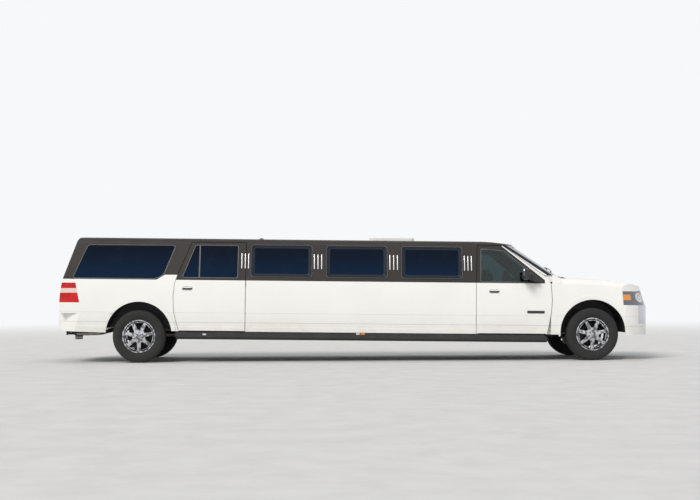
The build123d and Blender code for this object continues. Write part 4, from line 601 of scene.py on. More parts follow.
def add_lathe(mesh, profile, centre, axis, steps=48):
    """Adds a round form: points of distance along the axis and radius."""
    axis = axis.normalized()
    across = axis.orthogonal().normalized()
    other = axis.cross(across)
    rings = []
    for along, radius in profile:
        if radius < 1e-6:
            rings.append([mesh.verts.new(centre + axis * along)])
        else:
            rings.append(add_circle(mesh, centre + axis * along, across, other, radius, steps))
    for first, second in zip(rings, rings[1:]):
        for step in range(steps):
            turn = (step + 1) % steps
            corners = [first[step % len(first)], first[turn % len(first)]]
            corners += [second[turn % len(second)], second[step % len(second)]]
            unique = list(dict.fromkeys(corners))
            if len(unique) > 2:
                mesh.faces.new(unique)


def rounded_path(points, radius, steps=6):
    """A closed outline with its corners rounded."""
    path = []
    for i, corner in enumerate(points):
        corner = Vector(corner)
        before = (Vector(points[i - 1]) - corner).normalized()
        after = (Vector(points[(i + 1) % len(points)]) - corner).normalized()
        start = corner + before * radius
        end = corner + after * radius
        for step in range(steps + 1):
            t = step / steps
            path.append(start * (1 - t) ** 2 + corner * 2 * t * (1 - t) + end * t**2)
    return path


def pane_point(x, z, side, out=0.0):
    """A point on the leaning side above the belt, in the level body, and its outward normal."""
    lean = Vector((0, (rail_z - belt_z) * side, belt_half - rail_half)).normalized()
    half = belt_half + (rail_half - belt_half) * (z - belt_z) / (rail_z - belt_z)
    return Vector((x, side * half, z)) + lean * out, lean


def add_loop(mesh, spots, profile, closed=True):
    """Sweeps a section, in distances across and outward, along points with outward normals."""
    count = len(spots)
    rings = []
    for i, (spot, normal) in enumerate(spots):
        after = spots[(i + 1) % count if closed else min(i + 1, count - 1)][0]
        before = spots[i - 1 if closed else max(i - 1, 0)][0]
        across = normal.cross(after - before).normalized()
        rings.append([mesh.verts.new(spot + across * a + normal * b) for a, b in profile])
    for i in range(count if closed else count - 1):
        join_rings(mesh, rings[i], rings[(i + 1) % count])
    if not closed:
        mesh.faces.new(rings[0])
        mesh.faces.new(rings[-1])


def add_pane_loop(mesh, path, side, profile):
    """Sweeps a section along a side-view outline on the plane of the panes."""
    add_loop(mesh, [pane_point(p[0], p[1], side) for p in path], profile)


def add_pane_bar(mesh, x, low_z, high_z, side, out, size):
    """Adds an upright bar of a width and a depth on the plane of the panes."""
    low, lean = pane_point(x, low_z, side, out)
    high, _ = pane_point(x, high_z, side, out)
    add_block(mesh, placed((low + high) / 2, lean, high - low), ((high - low).length, *size))


def add_tube(mesh, points, radius, steps=10):
    """Adds a round bar along points."""
    rings = []
    for i, point in enumerate(points):
        along = (points[min(i + 1, len(points) - 1)] - points[max(i - 1, 0)]).normalized()
        guide = Vector((0, 0, 1)) if abs(along.z) < 0.9 else Vector((0, 1, 0))
        across = along.cross(guide).normalized()
        rings.append(add_circle(mesh, point, across, along.cross(across), radius, steps))
    for first, second in zip(rings, rings[1:]):
        join_rings(mesh, first, second)
    mesh.faces.new(rings[0])
    mesh.faces.new(rings[-1])


def oval(turn, length, height):
    """Points with outward normals round an oval on a plane given by a matrix."""
    normal = turn.to_3x3() @ Vector((0, 0, 1))
    x, y = length / 2, height / 2
    path = rounded_path([(-x, -y), (x, -y), (x, y), (-x, y)], height * 0.49)
    return [(turn @ Vector((p[0], p[1], 0)), normal) for p in path]


def add_plate(mesh, turn, length, height, rings):
    """Adds an oval plate as rings, each an inset from its edge and a height above the plane."""
    normal = turn.to_3x3() @ Vector((0, 0, 1))
    loops = []
    for inset, rise in rings:
        spots = oval(turn, length - 2 * inset, height - 2 * inset)
        loops.append([mesh.verts.new(spot + normal * rise) for spot, _ in spots])
    for first, second in zip(loops, loops[1:]):
        join_rings(mesh, first, second)
    mesh.faces.new(loops[-1])
    mesh.faces.new(loops[0])


trees = {}


def cast(node_name, start, towards):
    """Where a line from a point first meets a CAD node, with the normal on the near side."""
    if node_name not in trees:
        data = nodes[node_name].data
        corners = [v.co for v in data.vertices]
        trees[node_name] = BVHTree.FromPolygons(corners, [p.vertices for p in data.polygons])
    spot, normal, _, _ = trees[node_name].ray_cast(Vector(start), Vector(towards))
    if spot is None:
        raise ValueError(f"{node_name} isn't met from {tuple(start)}")
    return spot, normal if normal.dot(Vector(towards)) < 0 else -normal


def outside(node_name, x, z, side):
    """The outer face of a node of the level body at a place in side view."""
    start = rake_turn @ Vector((x, 0, z))
    return cast(node_name, (start.x, side * 3.0, start.z), (0, -side, 0))


def inside(node_name, x, z, side):
    """The inner face of a side's node of the level body at a place in side view."""
    start = rake_turn @ Vector((x, 0, z))
    return cast(node_name, (start.x, side * 0.3, start.z), (0, side, 0))


# Tyres: tread with four grooves, cross cuts at the shoulders and moulded sidewalls
wall_points = (
    (0.0976, 0.2405), (0.1018, 0.251), (0.110, 0.263), (0.1215, 0.290), (tyre_half, 0.320),
    (0.1262, 0.338), (0.1262, 0.344), (0.1225, 0.358), (0.1155, 0.378), (0.1085, 0.3885),
)
tread_steps = 320
block_steps = 5
groove_places = (-0.068, -0.024, 0.024, 0.068)
groove_half = 0.0045
groove_edge = 0.001
groove_depth = 0.009
rib_middle = 0.022
shoulder_edge = 0.088
tread_half = 0.106
crown_drop = 0.006
cut_depth = 0.007
zigzag = 0.0016
zigzag_steps = 4
zigzag_half = 0.06
slit_depth = 0.003
slit_start = 0.03


def tyre_profile():
    """Distance across, radius and kind of each point from the inner bead to the outer."""
    points = [(-across, radius, "wall") for across, radius in wall_points]
    across_places = [(-tread_half, "shoulder"), (-shoulder_edge, "shoulder")]
    last = len(groove_places) - 1
    for i, groove in enumerate(groove_places):
        near, far = groove - groove_half, groove + groove_half
        across_places += [(near - groove_edge, "shoulder" if i == 0 else "rib")]
        across_places += [(near, "groove"), (far, "groove")]
        across_places += [(far + groove_edge, "shoulder" if i == last else "rib")]
        if i < last:
            across_places += [(groove + rib_middle, "rib")]
    across_places += [(shoulder_edge, "shoulder"), (tread_half, "shoulder")]
    for across, kind in across_places:
        radius = tyre_radius - crown_drop * (across / tread_half) ** 2
        if kind == "groove":
            radius -= groove_depth
        points.append((across, radius, kind))
    return points + [(across, radius, "wall") for across, radius in reversed(wall_points)]


def tyre_mesh():
    """One tyre about the origin, with its axle along Y."""
    mesh = bmesh.new()
    profile = tyre_profile()
    rings = []
    for step in range(tread_steps):
        angle = 2 * pi * step / tread_steps
        phase = step % block_steps
        shift = zigzag if (step // zigzag_steps) % 2 else -zigzag
        ring = []
        for across, radius, kind in profile:
            if kind == "shoulder" and phase == 0:
                radius -= cut_depth
            if kind in ("rib", "groove") and abs(across) < zigzag_half:
                across += shift
            if kind == "rib" and phase == 2 and abs(across) > slit_start:
                radius -= slit_depth
            ring.append(mesh.verts.new((radius * sin(angle), across, radius * cos(angle))))
        rings.append(ring)
    for i, first in enumerate(rings):
        join_rings(mesh, first, rings[(i + 1) % tread_steps])
    return mesh


wheel_bodies = {
    (side_name, end): (f"{side_name}_{end}_wheel", Vector((axle_x, side * wheel_y, wheel_z)))
    for side_name, side in sides.items()
    for end, axle_x in (("front", front_axle_x), ("rear", rear_axle_x))
}


def make_tyres():
    """Four tyres in place of the plain ones."""
    for (side_name, end), (body, centre) in wheel_bodies.items():
        made = piece_of(f"{side_name}_{end}_tread", tyre_mesh(), "tyre", body, 40.0)
        made.matrix_world = Matrix.Translation(centre)
        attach(made, body)
        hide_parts(f"{side_name}_{end}_tyre")


# Caps and nuts: the wheel's face lies this far out from the wheel's middle
face_out = 0.1005
nut_count = 6
nut_circle = 0.053
nut_radius = 0.0112


def make_wheel_details():
    """A centre cap and six nuts on each wheel."""
    cap = ((-0.012, 0.030), (0.004, 0.031), (0.007, 0.028), (0.0065, 0.026), (0.009, 0.018),
           (0.010, 0.0))
    nut = ((-0.012, nut_radius), (0.004, nut_radius), (0.009, 0.007), (0.010, 0.0))
    for (side_name, end), (body, centre) in wheel_bodies.items():
        axis = Vector((0, sides[side_name], 0))
        mesh = bmesh.new()
        add_lathe(mesh, [(face_out + out, radius) for out, radius in cap], centre, axis)
        for i in range(nut_count):
            a = 2 * pi * (i + 0.5) / nut_count
            spot = centre + Vector((cos(a), 0, sin(a))) * nut_circle
            add_lathe(mesh, [(face_out + out, radius) for out, radius in nut], spot, axis, 6)
        piece_of(f"{side_name}_{end}_cap", mesh, "wheel_chrome", body, 30.0)


# Seams of the doors, and the stretch windows between them
rear_axle_to_door = 0.520
front_axle_to_door = 0.622
rear_door_length = 1.080
front_door_length = 1.150
rear_door_front_x = rear_axle_x + rear_axle_to_door + rear_door_length
front_door_front_x = front_axle_x - front_axle_to_door
front_door_rear_x = front_door_front_x - front_door_length
window_length = 0.910
window_low_z = 1.272
window_high_z = 1.742
window_count = 3
rear_window_margin = 0.090
front_window_margin = 0.223
first_window_x = rear_door_front_x + rear_window_margin
last_window_x = front_door_rear_x - front_window_margin - window_length
window_pitch = (last_window_x - first_window_x) / (window_count - 1)
window_starts = [first_window_x + n * window_pitch for n in range(window_count)]

# Outlines round a stretch window: how far out at its ends, top and bottom, and the corners
window_outlines = (
    (0.012, 0.015, 0.010, 0.055),
    (0.003, 0.006, 0.002, 0.048),
    (-0.050, -0.042, -0.047, 0.028),
)


def add_frame(mesh, outer, inner, side, rings):
    """Joins two outlines on the plane of the panes by rings: a share of the way and a rise."""
    loops = []
    for share, rise in rings:
        places = [far.lerp(near, share) for far, near in zip(outer, inner)]
        loops.append([mesh.verts.new(pane_point(p.x, p.y, side, rise)[0]) for p in places])
    for i, first in enumerate(loops):
        join_rings(mesh, first, loops[(i + 1) % len(loops)])


def make_surrounds():
    """A broad raised surround inside each stretch window's opening, with a paler outer edge."""
    broad = ((0, -0.004), (0, 0.006), (0.08, 0.010), (0.20, 0.010), (0.30, 0.006), (0.90, 0.004),
             (1, 0.0), (1, -0.0036))
    slim = ((0, -0.004), (0, 0.009), (0.4, 0.0125), (0.8, 0.0115), (1, 0.008), (1, -0.004))
    for side_name, side in sides.items():
        frames = bmesh.new()
        edges = bmesh.new()
        for start in window_starts:
            outlines = []
            for across, top, bottom, corner in window_outlines:
                low_x, high_x = start - across, start + window_length + across
                low_z, high_z = window_low_z - bottom, window_high_z + top
                corners = [(low_x, low_z), (high_x, low_z), (high_x, high_z), (low_x, high_z)]
                outlines.append(rounded_path(corners, corner))
            add_frame(edges, outlines[0], outlines[1], side, slim)
            add_frame(frames, outlines[1], outlines[2], side, broad)
        for tag, mesh, look_name in (
            ("surrounds", frames, "surround_trim"), ("edges", edges, "edge_grey")
        ):
            piece_of(f"{side_name}_window_{tag}", mesh, look_name, "car", 30.0, level=True)


# Panes in side view: corners in X and Z
door_panes = {
    "front_door": (
        (front_door_rear_x + 0.066, 1.226),
        (front_door_front_x - 0.134, 1.226),
        (front_door_front_x - 0.728, 1.703),
        (front_door_rear_x + 0.078, 1.733),
    ),
    "rear_door": (
        (rear_door_front_x - 0.952, 1.247),
        (rear_door_front_x - 0.117, 1.247),
        (rear_door_front_x - 0.117, 1.740),
        (rear_door_front_x - 0.762, 1.740),
    ),
}
quarter_pane = (
    (rear_axle_x - 1.002, 1.223),
    (rear_axle_x + 0.252, 1.223),
    (rear_axle_x + 0.364, 1.285),
    (rear_axle_x + 0.535, 1.735),
    (rear_axle_x - 0.794, 1.732),
)
door_pane_corner = 0.03
quarter_pane_corner = 0.05
division_x = -2.356
division_low_z = 1.250
division_high_z = 1.738
division_out = -0.001
division_size = (0.020, 0.009)


def make_pane_edges():
    """Rubber edges round the door and quarter panes, and the bar that divides the rear door's."""
    seal = [(-0.005, -0.006), (-0.006, 0.001), (-0.002, 0.003), (0.004, 0.002), (0.005, -0.006)]
    for side_name, side in sides.items():
        for door, corners in door_panes.items():
            mesh = bmesh.new()
            add_pane_loop(mesh, rounded_path(corners, door_pane_corner), side, seal)
            if door == "rear_door":
                add_pane_bar(mesh, division_x, division_low_z, division_high_z, side,
                             division_out, division_size)
            body = f"{side_name}_{door}"
            piece_of(f"{body}_seal", mesh, "edge_grey", body, 30.0, level=True)
        mesh = bmesh.new()
        add_pane_loop(mesh, rounded_path(quarter_pane, quarter_pane_corner), side, seal)
        piece_of(f"{side_name}_quarter_seal", mesh, "edge_grey", "car", 30.0, level=True)


# Chrome bars on the pillars, in level places
bar_low_z = 1.392
bar_high_z = 1.619
bar_width = 0.014
bar_rise = 0.009
bar_sink = 0.001
bar_edge = 0.0032
bar_places = {
    "rear_door": (-1.718,),
    "car": (-1.666, -1.616, -0.618, -0.562, -0.506, 0.533, 0.591, 0.648, 1.672, 1.725, 1.778),
}


def make_pillar_bars():
    """Three slim chrome bars on each pillar between the windows."""
    for side_name, side in sides.items():
        for carrier, places in bar_places.items():
            mesh = bmesh.new()
            for x in places:
                add_pane_bar(mesh, x, bar_low_z, bar_high_z, side, bar_rise / 2 - bar_sink,
                             (bar_width, bar_rise))
            body = "car" if carrier == "car" else f"{side_name}_{carrier}"
            piece_of(f"{side_name}_{carrier}_bars", mesh, "bar_chrome", body, 40.0, bar_edge,
                     level=True)


# Door handles and trim strips
handle_z = 1.082
handle_places = {"rear_door": -2.533, "front_door": 2.121}
handle_length = 0.158
handle_height = 0.056
grip_rise = 0.011
grip_height = 0.018
grip_margin = 0.016
grip_out = 0.012
grip_foot_x = 0.058
grip_foot_out = 0.004
grip_foot_size = (0.014, 0.012, 0.012)
strip_x = 2.754
strip_z = 0.773
strip_size = (0.264, 0.040, 0.009)
strip_out = 0.002


def make_handles():
    """A bezel, a dark recess and a grip on each side door."""
    bezel = [(-0.005, -0.004), (-0.006, 0.004), (-0.002, 0.007), (0.003, 0.005), (0.004, -0.004)]
    cup_rings = ((0, -0.003), (0.004, 0.0022), (0.010, 0.0006))
    grip_rings = ((0.003, -0.006), (0, 0.0), (0.001, 0.006), (0.005, 0.009))
    for side_name, side in sides.items():
        for door, x in handle_places.items():
            node_name = f"{side_name}_{door}"
            turn = placed(*outside(node_name, x, handle_z, side), side_line)
            ring = bmesh.new()
            add_loop(ring, oval(turn, handle_length, handle_height), bezel)
            piece_of(f"{node_name}_bezel", ring, "body_paint", node_name, 50.0)
            cup = bmesh.new()
            add_plate(cup, turn, handle_length, handle_height, cup_rings)
            piece_of(f"{node_name}_recess", cup, "black_plastic", node_name, 50.0)
            grip = bmesh.new()
            up = -side * grip_rise
            lift = turn @ Matrix.Translation((0, up, grip_out))
            add_plate(grip, lift, handle_length - grip_margin, grip_height, grip_rings)
            for end in (-1, 1):
                foot = turn @ Matrix.Translation((end * grip_foot_x, up, grip_foot_out))
                add_block(grip, foot, grip_foot_size)
            piece_of(f"{node_name}_grip", grip, "body_paint", node_name, 50.0, 0.001)


def make_door_strips():
    """The blank dark strip low on each front door."""
    for side_name, side in sides.items():
        node_name = f"{side_name}_front_door"
        turn = placed(*outside(node_name, strip_x, strip_z, side), side_line)
        mesh = bmesh.new()
        add_block(mesh, turn @ Matrix.Translation((0, 0, strip_out)), strip_size)
        piece_of(f"{node_name}_strip", mesh, "black_plastic", node_name, 40.0, 0.003)


# Small side lights over the running boards: name, X, Z, length and look
markers = (
    ("middle_clear", 0.053, 0.416, 0.058, "lamp_bulb"),
    ("middle_amber", 0.125, 0.416, 0.072, "amber_lens"),
    ("rear_clear", -2.265, 0.390, 0.060, "lamp_bulb"),
)
marker_height = 0.026


def make_markers():
    """A clear and an amber light at the middle of each side, and a clear one further back."""
    rings = ((0.001, -0.003), (0, 0.004), (0.002, 0.009), (0.006, 0.011))
    for side_name, side in sides.items():
        for tag, x, z, length, look_name in markers:
            turn = placed(*outside("running_boards", x, z, side), side_line)
            mesh = bmesh.new()
            add_plate(mesh, turn, length, marker_height, rings)
            piece_of(f"{side_name}_{tag}_marker", mesh, look_name, "car", 50.0)


# Antenna and the ribs across the low vent, both on the roof
antenna_x = -1.447
vent_rib_count = 13
vent_rib_height = 0.010
vent_rib_length = 0.49
vent_rib_width = 0.028
vent_margin = 0.04


def make_antenna():
    """The low antenna on the roof."""
    spot, normal = cast("roof_panel", (antenna_x, 0, 3.0), (0, 0, -1))
    mesh = bmesh.new()
    profile = [(-0.004, 0.040), (0.006, 0.039), (0.016, 0.031), (0.024, 0.018), (0.027, 0.0)]
    add_lathe(mesh, profile, spot, normal)
    piece_of("roof_antenna", mesh, "black_plastic", "car", 50.0)


def make_vent_ribs():
    """Low rounded ribs across the top of the roof's vent."""
    low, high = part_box("roof_hatch")
    mesh = bmesh.new()
    pitch = (high.x - low.x - 2 * vent_margin) / (vent_rib_count - 1)
    rings = ((0, -0.004), (0, vent_rib_height * 0.6), (0.006, vent_rib_height))
    for n in range(vent_rib_count):
        start = (low.x + vent_margin + pitch * n, 0, 3.0)
        turn = placed(*cast("roof_hatch", start, (0, 0, -1)), cross_line)
        add_plate(mesh, turn, vent_rib_length, vent_rib_width, rings)
    piece_of("roof_vent_ribs", mesh, "body_paint", "car", 40.0)


# Wipers
wiper_feet = (-0.58, 0.06)
wiper_reach = 0.56
wiper_low_z = 1.392
wiper_climb = 0.045
rear_wiper_start_y = -0.02
rear_wiper_reach = -0.36
rear_wiper_low_z = 1.345
rear_wiper_climb = 0.02
blade_lift = 0.006
blade_half = 0.006
blade_root_half = 0.003
blade_root_drop = 0.005
blade_shoulder_drop = 0.005
blade_crown = 0.010
rear_blade_crown = 0.009
blade_start = 0.04
blade_steps = 12
rear_blade_steps = 10
arm_foot = Vector((0.055, -0.05, -0.045))
arm_foot_depth = 0.03
arm_foot_radius = 0.012
arm_radius = 0.0055
rear_arm_radius = 0.006
rear_hub_y = 0.02
rear_hub_z = 1.275


def add_blade(mesh, steps, spot_at, crown):
    """Adds a wiper's blade along a pane, and gives the places on the pane with their normals."""
    line = [spot_at(step / steps) for step in range(steps + 1)]
    shoulder = crown - blade_shoulder_drop
    root = -blade_root_drop
    section = [(-blade_root_half, root), (-blade_half, shoulder), (0.0, crown),
               (blade_half, shoulder), (blade_root_half, root)]
    add_loop(mesh, [(spot + normal * blade_lift, normal) for spot, normal in line], section,
             closed=False)
    return line


def make_wipers():
    """Two arms with their blades, parked low on the windshield."""
    mesh = bmesh.new()
    for foot_y in wiper_feet:

        def spot_at(share):
            y = foot_y + blade_start + wiper_reach * share
            return cast("windshield", (5.0, y, wiper_low_z + wiper_climb * share), (-1, 0, 0))

        blade = add_blade(mesh, blade_steps, spot_at, blade_crown)
        foot = blade[0][0] + arm_foot
        pane, outward = blade[blade_steps // 2]
        middle = pane + outward * 0.016
        start = foot + Vector((0, 0, 0.012))
        bend = start.lerp(middle, 0.35) + blade[2][1] * 0.014
        add_tube(mesh, [foot - Vector((0.0, 0, arm_foot_depth)), foot, start], arm_foot_radius)
        add_tube(mesh, [start, bend, middle], arm_radius)
    piece_of("windshield_wipers", mesh, "black_plastic", "car", 50.0)


def make_rear_wiper():
    """The wiper of the liftgate's pane."""

    def spot_at(share):
        y = rear_wiper_start_y + rear_wiper_reach * share
        z = rear_wiper_low_z + rear_wiper_climb * share
        return cast("liftgate_glass", (-6.0, y, z), (1, 0, 0))

    mesh = bmesh.new()
    blade = add_blade(mesh, rear_blade_steps, spot_at, rear_blade_crown)
    pane, outward = blade[rear_blade_steps // 2]
    middle = pane + outward * blade_lift
    hub, outward = cast("liftgate", (-6.0, rear_hub_y, rear_hub_z), (1, 0, 0))
    knob = [(-0.004, 0.024), (0.016, 0.022), (0.026, 0.012), (0.027, 0.0)]
    add_lathe(mesh, knob, hub, outward, 24)
    bend = hub.lerp(middle, 0.5) + outward * 0.024
    add_tube(mesh, [hub + outward * 0.018, bend, middle + outward * 0.012], rear_arm_radius)
    piece_of("rear_wiper", mesh, "black_plastic", "liftgate", 50.0)


# Mirrors' glasses and the tail pipe's end
mirror_middle_y = 1.122
mirror_z = 1.345
mirror_glass_size = 0.120
pipe_in_y = 0.034
pipe_in_z = 0.036


def make_mirror_glasses():
    """The mirrors in the backs of the door mirrors' heads."""
    rings = ((0, -0.002), (0.001, 0.0015), (0.004, 0.002))
    for side_name, side in sides.items():
        low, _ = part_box(f"{side_name}_mirror")
        start = (low.x - 0.5, side * mirror_middle_y, mirror_z)
        turn = placed(*cast(f"{side_name}_mirror", start, (1, 0, 0)), cross_line)
        mesh = bmesh.new()
        add_plate(mesh, turn, mirror_glass_size, mirror_glass_size, rings)
        piece_of(f"{side_name}_mirror_glass", mesh, "mirror_glass", f"{side_name}_front_door", 50.0)


def make_exhaust_tip():
    """A bright sleeve on the end of the tail pipe, open and dark inside."""
    low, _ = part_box("exhaust")
    centre = Vector((low.x, low.y + pipe_in_y, low.z + pipe_in_z))
    mesh = bmesh.new()
    profile = [(-0.090, 0.0345), (0.012, 0.0365), (0.016, 0.0355), (0.012, 0.0330),
               (-0.085, 0.0330)]
    add_lathe(mesh, profile, centre, Vector((-1, 0, 0)))
    piece_of("exhaust_tip", mesh, "steel", "car", 50.0)


# Padded seats: each cushion is blown up as cloth once, then reused for the seats like it
voxel = 0.009
cloth_frames = 20
cloth_pressure = 4.0
cushion_swell = 0.024
cushion_cuts = 15

# How far a plain cushion's sides, edges and corners draw in, and its middle stands up
side_draw = 0.045
corner_draw = 0.10
edge_drop = 0.30
under_drop = 0.15
crown_rise = 0.10


def cushion_mesh(name, size):
    """A cushion of a size about the origin: crowned, drawn in between its corners, inflated."""
    length, width, height = size
    mesh = bmesh.new()
    bmesh.ops.create_cube(mesh, size=1.0)
    bmesh.ops.subdivide_edges(mesh, edges=mesh.edges, cuts=cushion_cuts, use_grid_fill=True)
    for vert in mesh.verts:
        u, v, w = vert.co * 2
        pull = 1 - side_draw * (1 - v * v) * abs(u) ** 3
        draw = 1 - side_draw * (1 - u * u) * abs(v) ** 3
        edge = max(abs(u), abs(v)) ** 6
        crown = (1 - edge_drop * edge) * (1 + crown_rise * (1 - u * u) * (1 - v * v))
        corner = 1 - corner_draw * (abs(u) * abs(v)) ** 4
        vert.co.x = u * length / 2 * pull * corner
        vert.co.y = v * width / 2 * draw * corner
        vert.co.z = w * height / 2 * (crown if w > 0 else 1 - under_drop * edge)
    made = new_object(name, mesh)
    inflate(made)
    finished = made.data
    bpy.data.objects.remove(made)
    return finished


def inflate(cushion):
    """Fills a cushion with Blender's cloth under pressure, and caps how far each point moves."""
    remesh = cushion.modifiers.new("remesh", "REMESH")
    remesh.mode = "VOXEL"
    remesh.voxel_size = voxel
    apply_all(cushion)
    before = [vert.co.copy() for vert in cushion.data.vertices]
    cloth = cushion.modifiers.new("cloth", "CLOTH")
    cloth.settings.use_pressure = True
    cloth.settings.uniform_pressure_force = cloth_pressure
    cloth.settings.effector_weights.gravity = 0.0
    scene = bpy.context.scene
    for number in range(1, cloth_frames + 1):
        scene.frame_set(number)
    apply_all(cushion)
    for vert, start in zip(cushion.data.vertices, before):
        moved = vert.co - start
        if moved.length > cushion_swell:
            vert.co = start + moved.normalized() * cushion_swell
    scene.frame_set(1)


def apply_all(thing):
    """Replaces an object's mesh with what its modifiers make of it."""
    scene_view = bpy.context.evaluated_depsgraph_get()
    made = bpy.data.meshes.new_from_object(thing.evaluated_get(scene_view))
    thing.modifiers.clear()
    thing.data = made


def cushion_piece(name, data, turn, node_name):
    """Places a copy of a cushion's mesh in place of a CAD seat."""
    mesh = bmesh.new()
    mesh.from_mesh(data)
    bmesh.ops.transform(mesh, matrix=turn, verts=mesh.verts)
    made = piece_of(name, mesh, "seat_leather", "car", 60.0, level=True)
    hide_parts(node_name)


# Seats, laid out level
hip_x = front_door_rear_x + 0.560
bench_x = rear_axle_x + 0.550
lounge_start_x = rear_door_front_x + 0.160
lounge_end_x = front_door_rear_x - 0.190
front_seat_ys = (-0.390, 0.390)
rear_seat_pitch = 0.52
lounge_count = 5
cushion_sizes = {"base": (0.50, 0.45, 0.15), "back": (0.55, 0.45, 0.13), "head": (0.17, 0.25, 0.10)}

# Cushions facing forward: name, shape, distance behind the hip or the bench's front, Z, pitch
front_cushions = (
    ("front_cushion", "base", 0.05, 0.845, -4),
    ("front_back", "back", 0.375, 1.145, 104),
    ("headrest", "head", 0.475, 1.475, 100),
)
rear_cushions = (
    ("rear_cushion", "base", 0.26, 0.885, -3),
    ("rear_back", "back", 0.555, 1.185, 97),
)

# Cushions of the long bench, facing right: name, shape, Y, Z, pitch, shares of length and height
side_cushions = (
    ("side_cushion", "base", 0.600, 0.865, -3, 0.92, 1.0),
    ("side_back", "back", 0.765, 1.115, -98, 0.72, 0.75),
)
side_cushion_pitch = 0.50
side_cushion_widening = 1.09

# Blocks of a front seat's shell: distance behind the hip, Z, pitch and size
shell_blocks = (
    (0.08, 0.655, 0, (0.46, 0.42, 0.22)),
    (0.418, 1.13, 14, (0.035, 0.40, 0.60)),
)
post_ys = (-0.06, 0.06)
post_back = 0.435
post_low_z = 1.34
post_line = Vector((-0.03, 0, 0.12))
post_radius = 0.006

# Blocks behind and under the rear bench: distance behind its front, Z, pitch and size
bench_blocks = (
    (0.30, 0.74, 0, (0.54, 1.04, 0.17)),
    (0.625, 1.06, -8, (0.05, 1.02, 0.76)),
)

# Blocks under and behind the long bench: Y, Z, roll, width and height
side_blocks = (
    (0.628, 0.675, 0, 0.46, 0.26),
    (0.832, 1.10, -6, 0.03, 0.42),
)
side_block_gap = 0.01


def turned_about(origin, pitch=0.0, roll=0.0, yaw=0.0):
    """A matrix at a point, leant by angles in degrees about Y, X and Z."""
    return (
        Matrix.Translation(origin)
        @ Matrix.Rotation(radians(yaw), 4, "Z")
        @ Matrix.Rotation(radians(pitch), 4, "Y")
        @ Matrix.Rotation(radians(roll), 4, "X")
    )


def make_seats():
    """Front seats with headrests, the rear bench and the long bench down the left."""
    shapes = {tag: cushion_mesh(f"{tag}_shape", size) for tag, size in cushion_sizes.items()}
    for y in front_seat_ys:
        tag = "right" if y < 0 else "left"
        for name, shape, back, z, pitch in front_cushions:
            turn = turned_about((hip_x - back, y, z), pitch)
            cushion_piece(f"{tag}_{name}", shapes[shape], turn, "front_seats")
        shell = bmesh.new()
        for back, z, pitch, size in shell_blocks:
            add_block(shell, turned_about((hip_x - back, y, z), pitch), size)
        for post_y in post_ys:
            low = Vector((hip_x - post_back, y + post_y, post_low_z))
            add_tube(shell, [low, low + post_line], post_radius)
        piece_of(f"{tag}_front_shell", shell, "trim_dark", "car", 40.0, 0.02, level=True)
    side_length = lounge_end_x - lounge_start_x
    side_middle = (lounge_end_x + lounge_start_x) / 2
    bench = bmesh.new()
    for back, z, pitch, size in bench_blocks:
        add_block(bench, turned_about((bench_x - back, 0, z), pitch), size)
    for y, z, roll, width, height in side_blocks:
        size = (side_length - side_block_gap, width, height)
        add_block(bench, turned_about((side_middle, y, z), roll=roll), size)
    piece_of("lounge_bases", bench, "trim_dark", "car", 40.0, 0.015, level=True)
    for i in range(2):
        y = (i - 0.5) * rear_seat_pitch
        for name, shape, back, z, pitch in rear_cushions:
            turn = turned_about((bench_x - back, y, z), pitch)
            cushion_piece(f"{name}_{i}", shapes[shape], turn, "lounge_seats")
    stretch = side_length / lounge_count / side_cushion_pitch * side_cushion_widening
    for i in range(lounge_count):
        x = lounge_start_x + side_length * (i + 0.5) / lounge_count
        for name, shape, y, z, pitch, along, high in side_cushions:
            wide = Matrix.Diagonal((along, stretch, high, 1.0))
            turn = turned_about((x, y, z), pitch, yaw=90) @ wide
            cushion_piece(f"{name}_{i}", shapes[shape], turn, "lounge_seats")


# Cabin fittings: places on the dashboard's face are Y and Z
dial_hood_place = (0.38, 1.12)
dial_hood_size = (0.34, 0.130)
vent_ys = (-0.70, -0.16, 0.16, 0.70)
vent_z = 1.11
screen_place = (0.0, 1.06)
screen_size = (0.22, 0.13, 0.014)
screen_out = 0.004

# Blocks of the console: distance before the hip, Z, pitch and size
console_blocks = (
    (0.02, 0.66, 0, (0.72, 0.22, 0.24)),
    (-0.16, 0.81, -2, (0.34, 0.21, 0.075)),
)
stem_front = 0.30
stem_low_z = 0.77
stem_line = Vector((0.02, 0, 0.10))
stem_radius = 0.008
knob_place = Vector((0.022, 0, 0.115))
knob_axis = Vector((0.1, 0, 1))

# Mirror behind the windshield: where it hangs, how far it stands off, its face and its size
hanger_z = 1.655
hanging = Vector((-0.085, 0, -0.035))
hanger_bend = Vector((-0.04, 0, -0.02))
hanger_radius = 0.008
cabin_mirror_face = Vector((-1, 0, -0.12))
cabin_mirror_size = (0.25, 0.070)


def on_dash(y, z):
    """The face of the dashboard towards the cabin."""
    return cast("dashboard", (1.0, y, z), (1, 0, 0))


